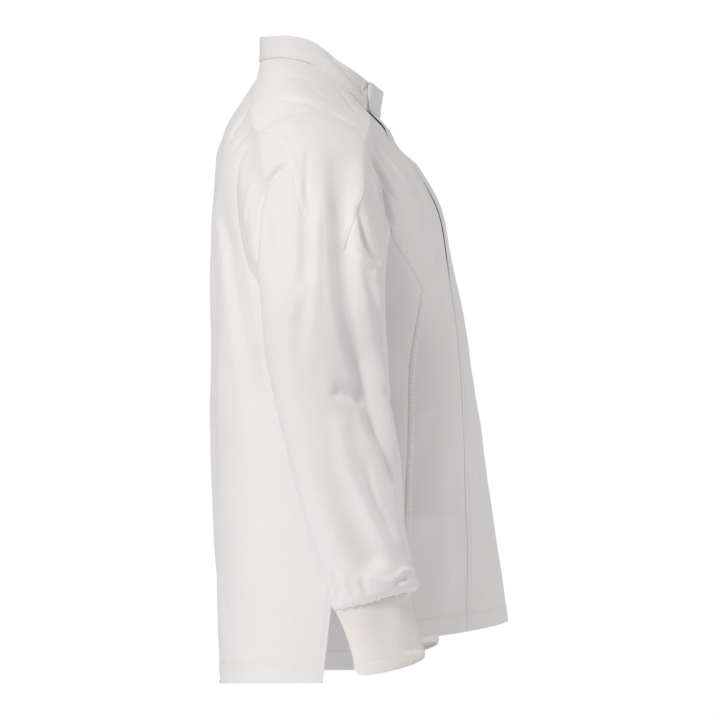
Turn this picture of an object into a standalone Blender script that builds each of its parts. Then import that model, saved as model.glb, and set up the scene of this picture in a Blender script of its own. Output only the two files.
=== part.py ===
"""A long-sleeved uniform tunic: hollow cloth walls, holding the shape it has when it is worn.

The origin is between the shoulders at the base of the neck. +Z is up, the front faces -Y,
and the wearer's right is -X. All sizes are in metres.

The body is a stack of rings from the back hem up to the yoke seams. A place on it is an
angle, 0 at the front and 90 at the wearer's right side, and a level above the lowest ring.
Each panel is a grid between two seams. The sleeves grow out of the armholes, and the saddle
yokes cover the shoulders and end in a point on each sleeve.
"""

from math import radians

import bmesh
import bpy
import numpy as np

WALL = 0.0015  # cloth thickness
SEAM_GAP = 0.0003  # between the pieces at a seam
WELD = 0.00002  # grid points this close are one seam point
SHARPEST_CORNER = 0.35  # keeps a sharp corner's point from moving too far in at the gap

CLOTH_WHITE = (0.86, 0.87, 0.88, 1.0)
RIB_WHITE = (0.87, 0.86, 0.84, 1.0)
ROUGHNESS = 0.9
SHARP_FROM = 40  # degrees between faces, from which an edge is drawn sharp

RING_BASE = -0.730  # height of the lowest body ring
RING_CENTRE_Y = -0.010  # the angles of the top line are taken about this axis

# Body rings: level, height at the front, side and back, half width, y at the front, side and
# back, and how square the front and back halves are (2 is an ellipse).
BODY_RINGS = [
    # level,  z_front, z_side, z_back, half_w, y_front, y_side, y_back, sq_f, sq_b
    (0.000, -0.730, -0.730, -0.730, 0.204, -0.237, -0.040, 0.105, 1.75, 2.6),
    (0.090, -0.640, -0.640, -0.640, 0.204, -0.228, -0.038, 0.108, 1.80, 2.6),
    (0.210, -0.520, -0.520, -0.520, 0.203, -0.211, -0.034, 0.114, 1.95, 2.6),
    (0.330, -0.400, -0.400, -0.400, 0.201, -0.195, -0.030, 0.117, 2.40, 2.7),
    (0.430, -0.300, -0.300, -0.300, 0.201, -0.178, -0.026, 0.117, 2.75, 2.8),
    (0.500, -0.226, -0.235, -0.222, 0.200, -0.163, -0.022, 0.117, 2.85, 2.9),
    (0.560, -0.168, -0.185, -0.150, 0.198, -0.151, -0.018, 0.113, 2.85, 3.0),
    (0.610, -0.120, -0.140, -0.086, 0.195, -0.124, -0.014, 0.102, 2.90, 3.2),
]

# The top line of front and back, half of it, from the centre front to the centre back:
# the front neckline, the front yoke seam, the shoulder end and the back yoke seam.
TOP_LEVEL = 0.665
TOP_LINE = [
    # x,      y,      z
    (0.000, -0.0825, -0.064),  # centre front of the neck
    (0.024, -0.0785, -0.061),
    (0.043, -0.070, -0.055),  # front end of the yoke
    (0.100, -0.075, -0.068),
    (0.150, -0.076, -0.081),
    (0.178, -0.074, -0.090),  # front corner of the armhole
    (0.187, -0.052, -0.077),
    (0.192, -0.012, -0.064),  # shoulder end
    (0.189, 0.028, -0.072),
    (0.183, 0.050, -0.086),  # back corner of the armhole
    (0.145, 0.060, -0.068),
    (0.090, 0.063, -0.044),
    (0.040, 0.061, -0.023),
    (0.000, 0.060, -0.014),  # centre back, under the collar
]
NECK_END, FRONT_CORNER, BACK_CORNER = 2, 5, 9  # rows of the top line

# Half of the neckline, from the front end of the yoke to the centre back.
NECKLINE = [
    # x,      y,      z
    (0.043, -0.070, -0.055),
    (0.058, -0.050, -0.036),
    (0.065, -0.030, -0.019),
    (0.067, -0.004, -0.002),
    (0.060, 0.024, 0.006),
    (0.042, 0.046, 0.005),
    (0.020, 0.056, 0.003),
    (0.000, 0.058, 0.002),
]

# The top edge of the stand collar: at the front by x, then over the neckline's places.
COLLAR_TOP_FRONT = [
    # x,      y,      z
    (0.000, -0.0845, -0.034),
    (0.024, -0.0790, -0.029),
    (0.042, -0.070, -0.021),
]
COLLAR_TOP = [
    # x,      y,      z
    (0.042, -0.070, -0.021),
    (0.054, -0.052, -0.007),
    (0.060, -0.032, 0.006),
    (0.061, -0.004, 0.025),
    (0.055, 0.022, 0.031),
    (0.040, 0.045, 0.031),
    (0.020, 0.056, 0.031),
    (0.000, 0.059, 0.031),
]

# The armhole from the armpit up, by its front and its back: nine stations of each.
ARMHOLE_STEPS = 8
ARMHOLE = [
    # y_front, z_front, y_back, z_back
    (-0.018, -0.270, -0.018, -0.270),  # armpit
    (-0.050, -0.264, 0.012, -0.268),
    (-0.078, -0.250, 0.038, -0.260),
    (-0.096, -0.224, 0.056, -0.243),
    (-0.101, -0.194, 0.068, -0.212),  # top of the princess seam
    (-0.092, -0.170, 0.074, -0.176),
    (-0.086, -0.144, 0.074, -0.140),
    (-0.080, -0.116, 0.068, -0.110),
]
PRINCESS_TOP = 4  # station of the armhole where the princess seam starts

# The princess seam below the armhole: a slant to a corner, then down to the hem.
PRINCESS_SLANT = [
    # y,      z
    (-0.101, -0.194),
    (-0.108, -0.214),
    (-0.120, -0.234),
    (-0.129, -0.250),
    (-0.138, -0.266),
]
PRINCESS_HEM_Y = -0.117
PRINCESS_DROP = [
    # level,  y
    (0.150, -0.118),
    (0.210, -0.119),
    (0.270, -0.121),
    (0.330, -0.123),
    (0.395, -0.127),
]
SIDE_SEAM = [
    # level,  y
    (0.150, -0.042),
    (0.270, -0.036),
    (0.395, -0.024),
]

# The side slits: y of the back's edge on the right and left side, and of the side panel's.
SLIT_TOP = 0.150
SLIT = [
    # level,  y_back_right, y_back_left, y_side_panel
    (0.000, -0.023, -0.042, -0.092),
    (0.050, -0.029, -0.044, -0.086),
    (0.100, -0.035, -0.044, -0.066),
    (0.150, -0.042, -0.042, -0.042),
]

# Hems: height at the centre and at the side.
FRONT_HEM = (-0.657, -0.676)
BACK_HEM = (-0.729, -0.722)
HEM_HALF_WIDTH = 0.204

# The overlap: x of the over front's edge, by level. The under front reaches past the centre.
OVERLAP_EDGE = [
    # level,  x
    (0.000, -0.120),
    (0.060, -0.114),
    (0.210, -0.100),
    (0.330, -0.098),
    (0.400, -0.091),
    (0.460, -0.069),
    (0.520, -0.051),
    (0.600, -0.039),
    (0.665, -0.038),
]
UNDER_EDGE_X = 0.024
OVERLAP_RISE = 0.0023  # how far the over front lies outside the under one
OVERLAP_LIFT = 0.0020  # and how much more at its free edge

# Sleeve sections below the shoulder: height, centre and half sizes in x and y, and how
# steeply the section falls towards the back and towards the outside.
SLEEVE = [
    # z,      x,      half_x, y,      half_y, slope, lean
    (-0.300, -0.257, 0.045, -0.027, 0.071, 0.00, 0.0),
    (-0.358, -0.257, 0.044, -0.034, 0.068, 0.02, 0.0),
    (-0.400, -0.256, 0.043, -0.040, 0.066, 0.04, 0.0),
    (-0.441, -0.255, 0.042, -0.048, 0.063, 0.06, 0.0),
    (-0.504, -0.253, 0.041, -0.061, 0.060, 0.10, 0.0),
    (-0.545, -0.252, 0.040, -0.069, 0.055, 0.14, 0.0),
    (-0.580, -0.251, 0.039, -0.077, 0.050, 0.18, 0.0),
    (-0.603, -0.251, 0.039, -0.083, 0.049, 0.21, 0.0),
    (-0.617, -0.250, 0.038, -0.087, 0.050, 0.23, 0.0),
    (-0.626, -0.247, 0.030, -0.086, 0.044, 0.24, 0.0),
]
CUFF = [
    # z,      x,      half_x, y,      half_y, slope, lean
    (-0.626, -0.247, 0.030, -0.086, 0.044, 0.24, 0.00),
    (-0.638, -0.246, 0.0275, -0.089, 0.0405, 0.24, 0.05),
    (-0.661, -0.245, 0.0270, -0.097, 0.0395, 0.24, 0.12),
    (-0.685, -0.245, 0.0275, -0.103, 0.0395, 0.24, 0.18),
    (-0.699, -0.245, 0.0280, -0.1055, 0.0400, 0.24, 0.23),
]
SLEEVE_SQUARENESS = 2.15
ARMHOLE_CENTRE = (-0.012, -0.170)  # y and z; the sleeve's angles at the armhole are about it

# The part of the yoke that lies on the sleeve, as the side shows it: its front and back
# edges from the armhole down, and the slanted end between them.
TONGUE_ROWS = 5
TONGUE_FRONT = [
    # y,      z
    (-0.0765, -0.110),
    (-0.0775, -0.135),
    (-0.0720, -0.163),
    (-0.0645, -0.191),
    (-0.0560, -0.220),
]
TONGUE_BACK = [
    # y,      z
    (0.0300, -0.090),
    (0.0160, -0.108),
    (0.0070, -0.133),
    (0.0000, -0.160),
    (-0.0060, -0.186),
]

CAP_LEAVE_TOP = np.array((-0.62, 0.0, -0.24))  # how the sleeve leaves the shoulder
CAP_LEAVE_ARMPIT = np.array((-0.90, 0.0, -0.35))
SLEEVE_RELAX = 0.6  # how far the sleeve's columns even out below the armhole
RELAX_SECTIONS = 3  # sleeve sections over which they do

# Grid steps.
YOKE_ACROSS = 6  # along the yoke seams
WIDEST_BY_X = 84.0  # columns even out in x only up to this angle from the centre
YOKE_ALONG = 8  # around the shoulder end; the last step is the centre back edge
BODY_LEVELS = (0.150, 0.210, 0.270, 0.330, 0.395)
FRONT_HEM_ROWS = 2
BACK_HEM_ROWS = 3
SIDE_COLUMNS = 4
COLLAR_ROWS = 3
SLEEVE_CAP_ROWS = 3  # between the end of the tongue and the first sleeve section
FRONT_CENTRE_COLUMNS = 4  # from a front's free edge to the end of the yoke
SLEEVE_COLUMNS = YOKE_ALONG + 2 * ARMHOLE_STEPS


def spline(params, rows, at, paired=False):
    """A smooth curve through the rows, one for each param, read at the given params.

    Paired rows hold a curve for each of the params that are read.
    """
    params = np.asarray(params, float)
    rows = np.asarray(rows, float)
    at = np.clip(np.asarray(at, float), params[0], params[-1])
    more = (1,) * (rows.ndim - 1)
    spans = np.diff(params).reshape(-1, *more)
    slopes = np.diff(rows, axis=0) / spans
    share = spans[1:] / (spans[:-1] + spans[1:])
    tangents = np.concatenate([slopes[:1], slopes[:-1] * share + slopes[1:] * (1 - share), slopes[-1:]])
    span = np.clip(np.searchsorted(params, at, side="right") - 1, 0, len(params) - 2)
    own = (np.arange(len(at)),) if paired else ()
    start, end = rows[(span, *own)], rows[(span + 1, *own)]
    leave, arrive = tangents[(span, *own)], tangents[(span + 1, *own)]
    width = params[span + 1] - params[span]
    t = (at - params[span]) / width
    spread = (1,) * (start.ndim - t.ndim)
    t = t.reshape(t.shape + spread)
    width = width.reshape(width.shape + spread)
    first = start * (2 * t**3 - 3 * t**2 + 1) + leave * width * (t**3 - 2 * t**2 + t)
    return first + end * (3 * t**2 - 2 * t**3) + arrive * width * (t**3 - t**2)


def smoothstep(low, high, value):
    t = np.clip((value - low) / (high - low), 0, 1)
    return t * t * (3 - 2 * t)


def column(rows, index):
    return [row[index] for row in rows]


def top_line_angles():
    """The angle of each row of the top line, in degrees."""
    rows = np.array(TOP_LINE)
    return np.degrees(np.arctan2(rows[:, 0], RING_CENTRE_Y - rows[:, 1]))


TOP_ANGLES = top_line_angles()
NECK_ANGLE, FRONT_CORNER_ANGLE, BACK_CORNER_ANGLE = TOP_ANGLES[[NECK_END, FRONT_CORNER, BACK_CORNER]]


def ring_point(ring, angle):
    """Points of one body ring."""
    _, z_front, z_side, z_back, half, y_front, y_side, y_back, sq_front, sq_back = ring
    across = np.abs(np.sin(np.radians(angle)))
    along = np.cos(np.radians(angle))
    is_front = along > 0
    reach = np.where(is_front, y_side - y_front, y_back - y_side)
    square = np.where(is_front, sq_front, sq_back)
    radius = ((across / half) ** square + (np.abs(along) / reach) ** square) ** (-1 / square)
    x = -np.sin(np.radians(angle)) * radius
    side = (np.abs(x) / half) ** 1.6
    z = np.where(is_front, z_front, z_back) * (1 - side) + z_side * side
    return np.stack([x, y_side - along * radius, z], axis=-1)


def top_point(angle):
    """Points of the top line."""
    point = spline(TOP_ANGLES, TOP_LINE, np.abs(angle))
    point[..., 0] *= -np.sign(angle)
    return point


def body(angle, level):
    """Points of the body's surface. Angles past 180 come round the back to the other side."""
    angle, level = np.broadcast_arrays(np.asarray(angle, float), np.asarray(level, float))
    flat = (angle.reshape(-1) + 180) % 360 - 180
    stack = np.stack([ring_point(ring, flat) for ring in BODY_RINGS] + [top_point(flat)])
    levels = column(BODY_RINGS, 0) + [TOP_LEVEL]
    return spline(levels, stack, level.reshape(-1), paired=True).reshape(angle.shape + (3,))


def halve(low, high, is_low):
    """The place between low and high where the test stops being true."""
    for _ in range(30):
        middle = (low + high) / 2
        if is_low(middle):
            low = middle
        else:
            high = middle
    return (low + high) / 2


def body_angle(y, level):
    """The angle on the wearer's right where the body at this level has this y."""
    return halve(1.0, 179.0, lambda angle: body(angle, level)[1] < y)


def edge_angle(x, level):
    """The angle near the centre front where the body at this level has this x."""
    return halve(-60.0, 60.0, lambda angle: body(angle, level)[0] > x)


def seek(surface, y, z, start, steps, limits):
    """The two parameters where a surface has this y and z, sought from a near start."""
    spot = np.array(start, float)
    target = np.array([y, z])
    steps = np.array(steps)
    for _ in range(15):
        here = surface(*spot)[1:]
        by_first = (surface(spot[0] + steps[0], spot[1])[1:] - here) / steps[0]
        by_second = (surface(spot[0], spot[1] + steps[1])[1:] - here) / steps[1]
        move = np.linalg.solve(np.stack([by_first, by_second], axis=1), target - here)
        spot += np.clip(move, -1e4 * steps, 1e4 * steps)
        spot[1] = np.clip(spot[1], *limits)
    return tuple(spot)


def body_spots(rows, start):
    """Angle and level of each (y, z) row, each sought from the one before it."""
    found = []
    for y, z in rows:
        start = seek(body, y, z, start, (1e-3, 5e-6), (0.0, TOP_LEVEL - 0.001))
        found.append(start)
    return found


def armhole_branch(first_column, corner_angle):
    """Angle and level of the armhole's stations, from the armpit up."""
    rows = [row[first_column : first_column + 2] for row in ARMHOLE]
    return body_spots(rows, (90.0, 0.46)) + [(corner_angle, TOP_LEVEL)]


ARMHOLE_FRONT = armhole_branch(0, FRONT_CORNER_ANGLE)
ARMHOLE_BACK = armhole_branch(2, BACK_CORNER_ANGLE)
PRINCESS_UPPER = body_spots(PRINCESS_SLANT[::-1], (60.0, 0.47))


def moved_out(points, rise):
    """Points of a grid, moved straight out of its surface by the given rise."""
    normal = np.cross(np.gradient(points, axis=0), np.gradient(points, axis=1))
    normal /= np.linalg.norm(normal, axis=-1, keepdims=True)
    return points + normal * rise[..., None]


def overlap_rise(x):
    """How far the over front and the collar's over end lie outside the rest."""
    over = 1 - smoothstep(UNDER_EDGE_X + 0.001, UNDER_EDGE_X + 0.018, x)
    return OVERLAP_RISE * over + OVERLAP_LIFT * (1 - smoothstep(-0.040, 0.010, x))


def hem_level(angles, hem):
    """The level of a hem at these angles, from its height at the centre and at the side."""
    side = np.minimum(np.abs(body(angles, SLIT_TOP / 2)[..., 0]) / HEM_HALF_WIDTH, 1)
    return hem[0] + (hem[1] - hem[0]) * side**1.5 - RING_BASE


def between(start, end, steps):
    """Angles and levels at even steps between two places of a row."""
    return np.linspace(start, end, steps + 1).T


def over_hem(angles, hem, part):
    """Levels part of the way from a hem up to the top of the slits."""
    start = hem_level(angles, hem)
    return start + (SLIT_TOP - start) * part


def hem_parts(hem, rows):
    """For each row below the slit's top: its part of the way up, and its level at the side."""
    side_level = hem[1] - RING_BASE
    return [(i / rows, side_level + (SLIT_TOP - side_level) * i / rows) for i in range(rows)]


def centre_levels(armpit):
    """Levels of the rows at the centre of front and back: even steps above the armpit."""
    return [*BODY_LEVELS, *np.linspace(armpit, TOP_LEVEL, ARMHOLE_STEPS + 1)]


def slit_angle(index, level):
    return body_angle(float(spline(column(SLIT, 0), column(SLIT, index), level)), level)


def princess_rows():
    """Places of the princess seam on each row from the slit's top up."""
    depths = [float(spline(column(PRINCESS_DROP, 0), column(PRINCESS_DROP, 1), at)) for at in BODY_LEVELS]
    return [(body_angle(y, at), at) for y, at in zip(depths, BODY_LEVELS)] + PRINCESS_UPPER


def side_seam_rows():
    """Places of the side seam on each row between the slit's top and the armpit."""
    depths = [float(spline(column(SIDE_SEAM, 0), column(SIDE_SEAM, 1), at)) for at in BODY_LEVELS]
    return [(body_angle(y, at), at) for y, at in zip(depths, BODY_LEVELS)]


def side_panel_grid():
    """Rows from the hem up and columns from the princess seam back, on the wearer's right."""
    rows = []
    for part, level in hem_parts(FRONT_HEM, FRONT_HEM_ROWS):
        angles = np.linspace(body_angle(PRINCESS_HEM_Y, level), slit_angle(3, level), SIDE_COLUMNS + 1)
        rows.append(body(angles, over_hem(angles, FRONT_HEM, part)))
    outer = side_seam_rows() + ARMHOLE_FRONT[: PRINCESS_TOP + 1]
    for start, end in zip(princess_rows(), outer):
        rows.append(body(*between(start, end, SIDE_COLUMNS)))
    return np.array(rows)


def overlap_angles(level):
    """Angles of both free edges at this level: the under one, then the over one."""
    over_x = float(spline(column(OVERLAP_EDGE, 0), column(OVERLAP_EDGE, 1), level))
    return edge_angle(UNDER_EDGE_X, level), edge_angle(over_x, level)


def front_angles(level, outer, is_over):
    """Angles of one row of a front, from its free edge to its outer seam.

    The over front is on the wearer's left, so its outer seam is at the negative angle.
    """
    under, over = overlap_angles(level)
    neck = max(NECK_ANGLE * (0.6 + 0.4 * level / TOP_LEVEL), over + 2)
    across = spread(neck, outer, level)
    if is_over:
        return np.array([over, over / 2, 0.0, under, *-across])
    return np.array([under, 0.0, over / 2, over, *across])


def spread(start, end, level):
    """Angles along a yoke seam. At the top line, which is nearly straight, they even out in x."""
    ends = np.array([start, end])
    near = np.minimum(ends, WIDEST_BY_X)
    by_turn = np.linspace(start, end, YOKE_ACROSS + 1)
    by_x = np.degrees(np.arctan(np.linspace(*np.tan(np.radians(near)), YOKE_ACROSS + 1)))
    by_x += np.linspace(*(ends - near), YOKE_ACROSS + 1)
    return by_turn + (by_x - by_turn) * (level / TOP_LEVEL) ** 4


def front_grid(is_over):
    """Rows from the hem up and columns from the free edge to the outer seam."""
    rows = []
    for part, level in hem_parts(FRONT_HEM, FRONT_HEM_ROWS):
        angles = front_angles(level, body_angle(PRINCESS_HEM_Y, level), is_over)
        rows.append(body(angles, over_hem(angles, FRONT_HEM, part)))
    places = princess_rows() + ARMHOLE_FRONT[PRINCESS_TOP + 1 :]
    for (outer, level), centre in zip(places, centre_levels(places[len(BODY_LEVELS)][1])):
        angles = front_angles(level, outer, is_over)
        rows.append(body(angles, level + (centre - level) * (1 - np.abs(angles) / outer)))
    points = np.array(rows)
    if is_over:
        points = moved_out(points, -overlap_rise(points[..., 0]))
    return points


def back_grid():
    """Rows from the hem up and columns from the wearer's right side to the left one."""
    rows = []
    for part, level in hem_parts(BACK_HEM, BACK_HEM_ROWS):
        angles = back_angles(slit_angle(1, level), slit_angle(2, level), level)
        rows.append(body(angles, over_hem(angles, BACK_HEM, part)))
    places = side_seam_rows() + ARMHOLE_BACK
    for (edge, level), centre in zip(places, centre_levels(places[len(BODY_LEVELS)][1])):
        angles = back_angles(edge, edge, level)
        rows.append(body(angles, centre + (level - centre) * np.abs(angles - 180) / (180 - edge)))
    return np.array(rows)


def back_angles(right, left, level):
    """Angles of one row of the back, from its right edge to its left one."""
    return np.concatenate([180 - spread(180 - right, 0, level), 180 + spread(0, 180 - left, level)[1:]])


def coons(start, end, first, last):
    """A grid between four edges: start and end are its first and last rows."""
    u = np.linspace(0, 1, len(first))[:, None, None]
    v = np.linspace(0, 1, len(start))[None, :, None]
    ruled = start[None] * (1 - u) + end[None] * u + first[:, None] * (1 - v) + last[:, None] * v
    near = start[0] * (1 - v) + start[-1] * v
    far = end[0] * (1 - v) + end[-1] * v
    return ruled - near * (1 - u) - far * u


def shoulder_grid():
    """The right yoke's shoulder part: rows along the neck, columns out to the armhole."""
    front_seam = body(spread(NECK_ANGLE, FRONT_CORNER_ANGLE, TOP_LEVEL), TOP_LEVEL)
    back_seam = body(180 - spread(0, 180 - BACK_CORNER_ANGLE, TOP_LEVEL), TOP_LEVEL)
    neck = np.array(NECKLINE) * (-1, 1, 1)
    neck = np.concatenate([neck, back_seam[:1]])
    shoulder_end = armhole(np.linspace(0, YOKE_ALONG, YOKE_ALONG + 1))
    return coons(front_seam, back_seam, neck, shoulder_end)


def armhole(station):
    """Points of the right armhole: from its front corner over the top, down the back to the
    armpit, and up the front. Whole stations are the columns of the sleeve."""
    station = np.asarray(station, float) % SLEEVE_COLUMNS
    over_top = FRONT_CORNER_ANGLE + (BACK_CORNER_ANGLE - FRONT_CORNER_ANGLE) * station / YOKE_ALONG
    places = np.stack([over_top, np.full_like(over_top, TOP_LEVEL)], axis=-1)
    steps = np.arange(ARMHOLE_STEPS + 1)
    down = spline(steps, ARMHOLE_BACK, YOKE_ALONG + ARMHOLE_STEPS - station)
    up = spline(steps, ARMHOLE_FRONT, station - YOKE_ALONG - ARMHOLE_STEPS)
    places = np.where((station > YOKE_ALONG)[..., None], down, places)
    places = np.where((station > YOKE_ALONG + ARMHOLE_STEPS)[..., None], up, places)
    return body(places[..., 0], places[..., 1])


def armhole_turn():
    """The turn of each sleeve column about the arm: 0 outermost, 90 at the front."""
    points = armhole(np.arange(SLEEVE_COLUMNS))
    turn = np.degrees(np.arctan2(ARMHOLE_CENTRE[0] - points[:, 1], points[:, 2] - ARMHOLE_CENTRE[1]))
    turn = np.unwrap(turn, period=360)
    return np.append(turn, turn[0] - 360)


ARMHOLE_TURN = armhole_turn()
EVEN_TURN = np.linspace(ARMHOLE_TURN.mean() + 180, ARMHOLE_TURN.mean() - 180, SLEEVE_COLUMNS + 1)


def section_point(sections, station, index):
    """Points around the sleeve or cuff, between its sections by whole index."""
    z, x, half_x, y, half_y, slope, lean = spline(np.arange(len(sections)), sections, index).T
    station = station % SLEEVE_COLUMNS
    relax = SLEEVE_RELAX if sections is CUFF else SLEEVE_RELAX * np.minimum(index / RELAX_SECTIONS, 1)
    columns = np.arange(SLEEVE_COLUMNS + 1)
    turn = np.interp(station, columns, ARMHOLE_TURN) * (1 - relax)
    turn = np.radians(turn + np.interp(station, columns, EVEN_TURN) * relax)
    along, across = np.cos(turn), np.sin(turn)
    square = 2 / SLEEVE_SQUARENESS
    dx = -half_x * np.sign(along) * np.abs(along) ** square
    dy = -half_y * np.sign(across) * np.abs(across) ** square
    return np.stack([x + dx, y + dy, z - slope * dy + lean * dx], axis=-1)


def sleeve(station, row):
    """Points of the right sleeve: row 0 is the armhole, row 1 the first section."""
    station, row = np.broadcast_arrays(np.asarray(station, float), np.asarray(row, float))
    shape = row.shape
    station, row = station.reshape(-1), row.reshape(-1)
    start = armhole(station)
    end = section_point(SLEEVE, station, np.zeros_like(row))
    reach = np.linalg.norm(end - start, axis=1, keepdims=True)
    below = smoothstep(0.10, 0.02, reach)
    leave = reach * (CAP_LEAVE_TOP * (1 - below) + CAP_LEAVE_ARMPIT * below)
    arrive = reach * np.array((0.0, 0.0, -1.0))
    t = np.clip(row, 0, 1)[:, None]
    cap = start * (2 * t**3 - 3 * t**2 + 1) + leave * (t**3 - 2 * t**2 + t)
    cap = cap + end * (3 * t**2 - 2 * t**3) + arrive * (t**3 - t**2)
    lower = section_point(SLEEVE, station, np.maximum(row - 1, 0))
    return np.where((row > 1)[:, None], lower, cap).reshape(shape + (3,))


def tongue_places():
    """Station and row of the yoke's front and back edges on the sleeve, row by row."""
    edges = []
    for rows, first in ((TONGUE_FRONT, 0.0), (TONGUE_BACK, float(YOKE_ALONG))):
        place = (first, 0.0)
        found = [place]
        for y, z in rows:
            start = (place[0], place[1] + 0.08)
            place = seek(sleeve, y, z, start, (1e-4, 2e-5), (0.0, 1.0))
            found.append(place)
        edges.append(np.array(found))
    return edges


def sleeve_places():
    """Station and row of each point of the sleeve's grid, from the armhole down."""
    front, back = tongue_places()
    columns = np.arange(SLEEVE_COLUMNS + 1)
    rows = []
    for (front_at, front_row), (back_at, back_row) in zip(front, back):
        stops = [0, YOKE_ALONG, SLEEVE_COLUMNS]
        at = np.interp(columns, stops, [front_at, back_at, front_at + SLEEVE_COLUMNS])
        rows.append(np.stack([at, np.interp(columns, stops, [front_row, back_row, front_row])], axis=-1))
    end = np.stack([columns, np.ones(len(columns))], axis=-1)
    for i in range(1, SLEEVE_CAP_ROWS + 1):
        rows.append(rows[TONGUE_ROWS] + (end - rows[TONGUE_ROWS]) * i / SLEEVE_CAP_ROWS)
    for i in range(2, len(SLEEVE) + 1):
        rows.append(end * (1, i))
    return np.array(rows)


def sleeve_grid():
    places = sleeve_places()
    return sleeve(places[..., 0], places[..., 1])


def cuff_grid():
    rows = np.arange(len(CUFF))[:, None]
    stations = np.arange(SLEEVE_COLUMNS + 1)[None]
    stations, rows = np.broadcast_arrays(stations, rows)
    return section_point(CUFF, stations.reshape(-1), rows.reshape(-1)).reshape(rows.shape + (3,))


def collar_grid(under_front, over_front, shoulder):
    """Rows from the neckline up, columns from the under end round the back to the over end."""
    right = shoulder[1:YOKE_ALONG, 0]
    left = right[::-1][1:] * (-1, 1, 1)
    ends = under_front[-1][: FRONT_CENTRE_COLUMNS + 1], over_front[-1][: FRONT_CENTRE_COLUMNS + 1][::-1]
    bottom = np.concatenate([ends[0], right, left, ends[1]])
    front_x = [row[0] for row in COLLAR_TOP_FRONT]
    top = np.array(COLLAR_TOP) * (-1, 1, 1)
    tops = [spline(front_x, COLLAR_TOP_FRONT, np.abs(end[:, 0])) for end in ends]
    for points, end in zip(tops, ends):
        points[:, 0] = np.sign(end[:, 0]) * points[:, 0]
    tops[1][:, 1] -= overlap_rise(ends[1][:, 0])
    upper = np.concatenate([tops[0], top[1:], top[::-1][1:-1] * (-1, 1, 1), tops[1]])
    part = np.linspace(0, 1, COLLAR_ROWS + 1)[:, None, None]
    return bottom * (1 - part) + upper * part


def grid_faces(grid, keep=None):
    """A grid's points, and its faces as corners in grid order, leaving out cells not kept."""
    count = grid.shape[1]
    faces = []
    for i in range(grid.shape[0] - 1):
        for j in range(count - 1):
            if keep is None or keep(i, j):
                a = i * count + j
                faces.append((a, a + 1, a + count + 1, a + count))
    return grid.reshape(-1, 3), faces


def joined(*surfaces):
    """Several surfaces as one, their points one after the other."""
    points, faces, start = [], [], 0
    for own_points, own_faces in surfaces:
        points.append(own_points)
        faces += [tuple(start + k for k in face) for face in own_faces]
        start += len(own_points)
    return np.concatenate(points), faces


def turned(surface):
    points, faces = surface
    return points, [face[::-1] for face in faces]


def mirrored(surface):
    points, faces = surface
    return points * (-1, 1, 1), [face[::-1] for face in faces]


def in_tongue(i, j):
    return i < TONGUE_ROWS and j < YOKE_ALONG


def surfaces():
    """The outer surface of each piece, by name, with its faces outwards."""
    under_front, over_front = front_grid(False), front_grid(True)
    shoulder, sleeve_rows = shoulder_grid(), sleeve_grid()
    yoke = joined(turned(grid_faces(shoulder)), grid_faces(sleeve_rows, in_tongue))
    arm = grid_faces(sleeve_rows, lambda i, j: not in_tongue(i, j))
    cuff = grid_faces(cuff_grid())
    side = turned(grid_faces(side_panel_grid()))
    found = {
        "back": turned(grid_faces(back_grid())),
        "front_right": turned(grid_faces(under_front)),
        "front_left": grid_faces(over_front),
        "collar": turned(grid_faces(collar_grid(under_front, over_front, shoulder))),
    }
    for name, piece in (("side_panel", side), ("yoke", yoke), ("sleeve", arm), ("cuff", cuff)):
        found[name + "_right"] = piece
        found[name + "_left"] = mirrored(piece)
    return found


def seam_points(pieces):
    """All the pieces' points with those that meet made one, and each piece's faces of them."""
    shared, index, faces = [], {}, {}
    for name, (points, own_faces) in pieces.items():
        own = []
        for point in points:
            key = tuple(np.round(point / WELD).astype(int))
            near = next((k for k in neighbours(key) if k in index), None)
            if near is None:
                index[key] = len(shared)
                shared.append(point)
                near = key
            own.append(index[near])
        faces[name] = [clean for clean in map(without_repeats, mapped(own_faces, own)) if len(clean) > 2]
    return np.array(shared), faces


def neighbours(key):
    yield key
    for dx in (0, -1, 1):
        for dy in (0, -1, 1):
            for dz in (0, -1, 1):
                yield key[0] + dx, key[1] + dy, key[2] + dz


def mapped(faces, own):
    return [tuple(own[k] for k in face) for face in faces]


def without_repeats(face):
    return tuple(k for i, k in enumerate(face) if k != face[i - 1])


def unit(vectors):
    return vectors / np.maximum(np.linalg.norm(vectors, axis=-1, keepdims=True), 1e-12)


def face_normal(points, face):
    corners = points[list(face)]
    return unit(np.cross(corners, np.roll(corners, -1, axis=0)).sum(axis=0))


def corner_angles(points, face):
    corners = points[list(face)]
    ahead = unit(np.roll(corners, -1, axis=0) - corners)
    behind = unit(np.roll(corners, 1, axis=0) - corners)
    return np.arccos(np.clip((ahead * behind).sum(axis=1), -1, 1))


def point_normals(points, faces):
    """The outward direction at each point, shared by every piece that meets there.

    Each face counts by its angle at the point, so that big and small faces weigh the same.
    """
    normals = np.zeros_like(points)
    for own_faces in faces.values():
        for face in own_faces:
            normals[list(face)] += face_normal(points, face) * corner_angles(points, face)[:, None]
    return unit(normals)


def rim_edges(faces):
    """The edges with a face on one side only, each with that face."""
    edges = {}
    for face in faces:
        for a, b in zip(face, face[1:] + face[:1]):
            edges[(a, b)] = face
    return {edge: face for edge, face in edges.items() if edge[::-1] not in edges}


def seam_insets(points, faces, rim):
    """How far each rim point moves into its piece, to leave half the seam's gap."""
    inward = {}
    for (a, b), face in rim.items():
        normal = face_normal(points, face)
        side = unit(np.cross(normal, points[b] - points[a]))
        inward.setdefault(a, []).append(side)
        inward.setdefault(b, []).append(side)
    moves = {}
    for point, sides in inward.items():
        first, last = sides[0], sides[-1]
        moves[point] = (first + last) / max(1 + first @ last, SHARPEST_CORNER) * SEAM_GAP / 2
    return moves


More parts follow.
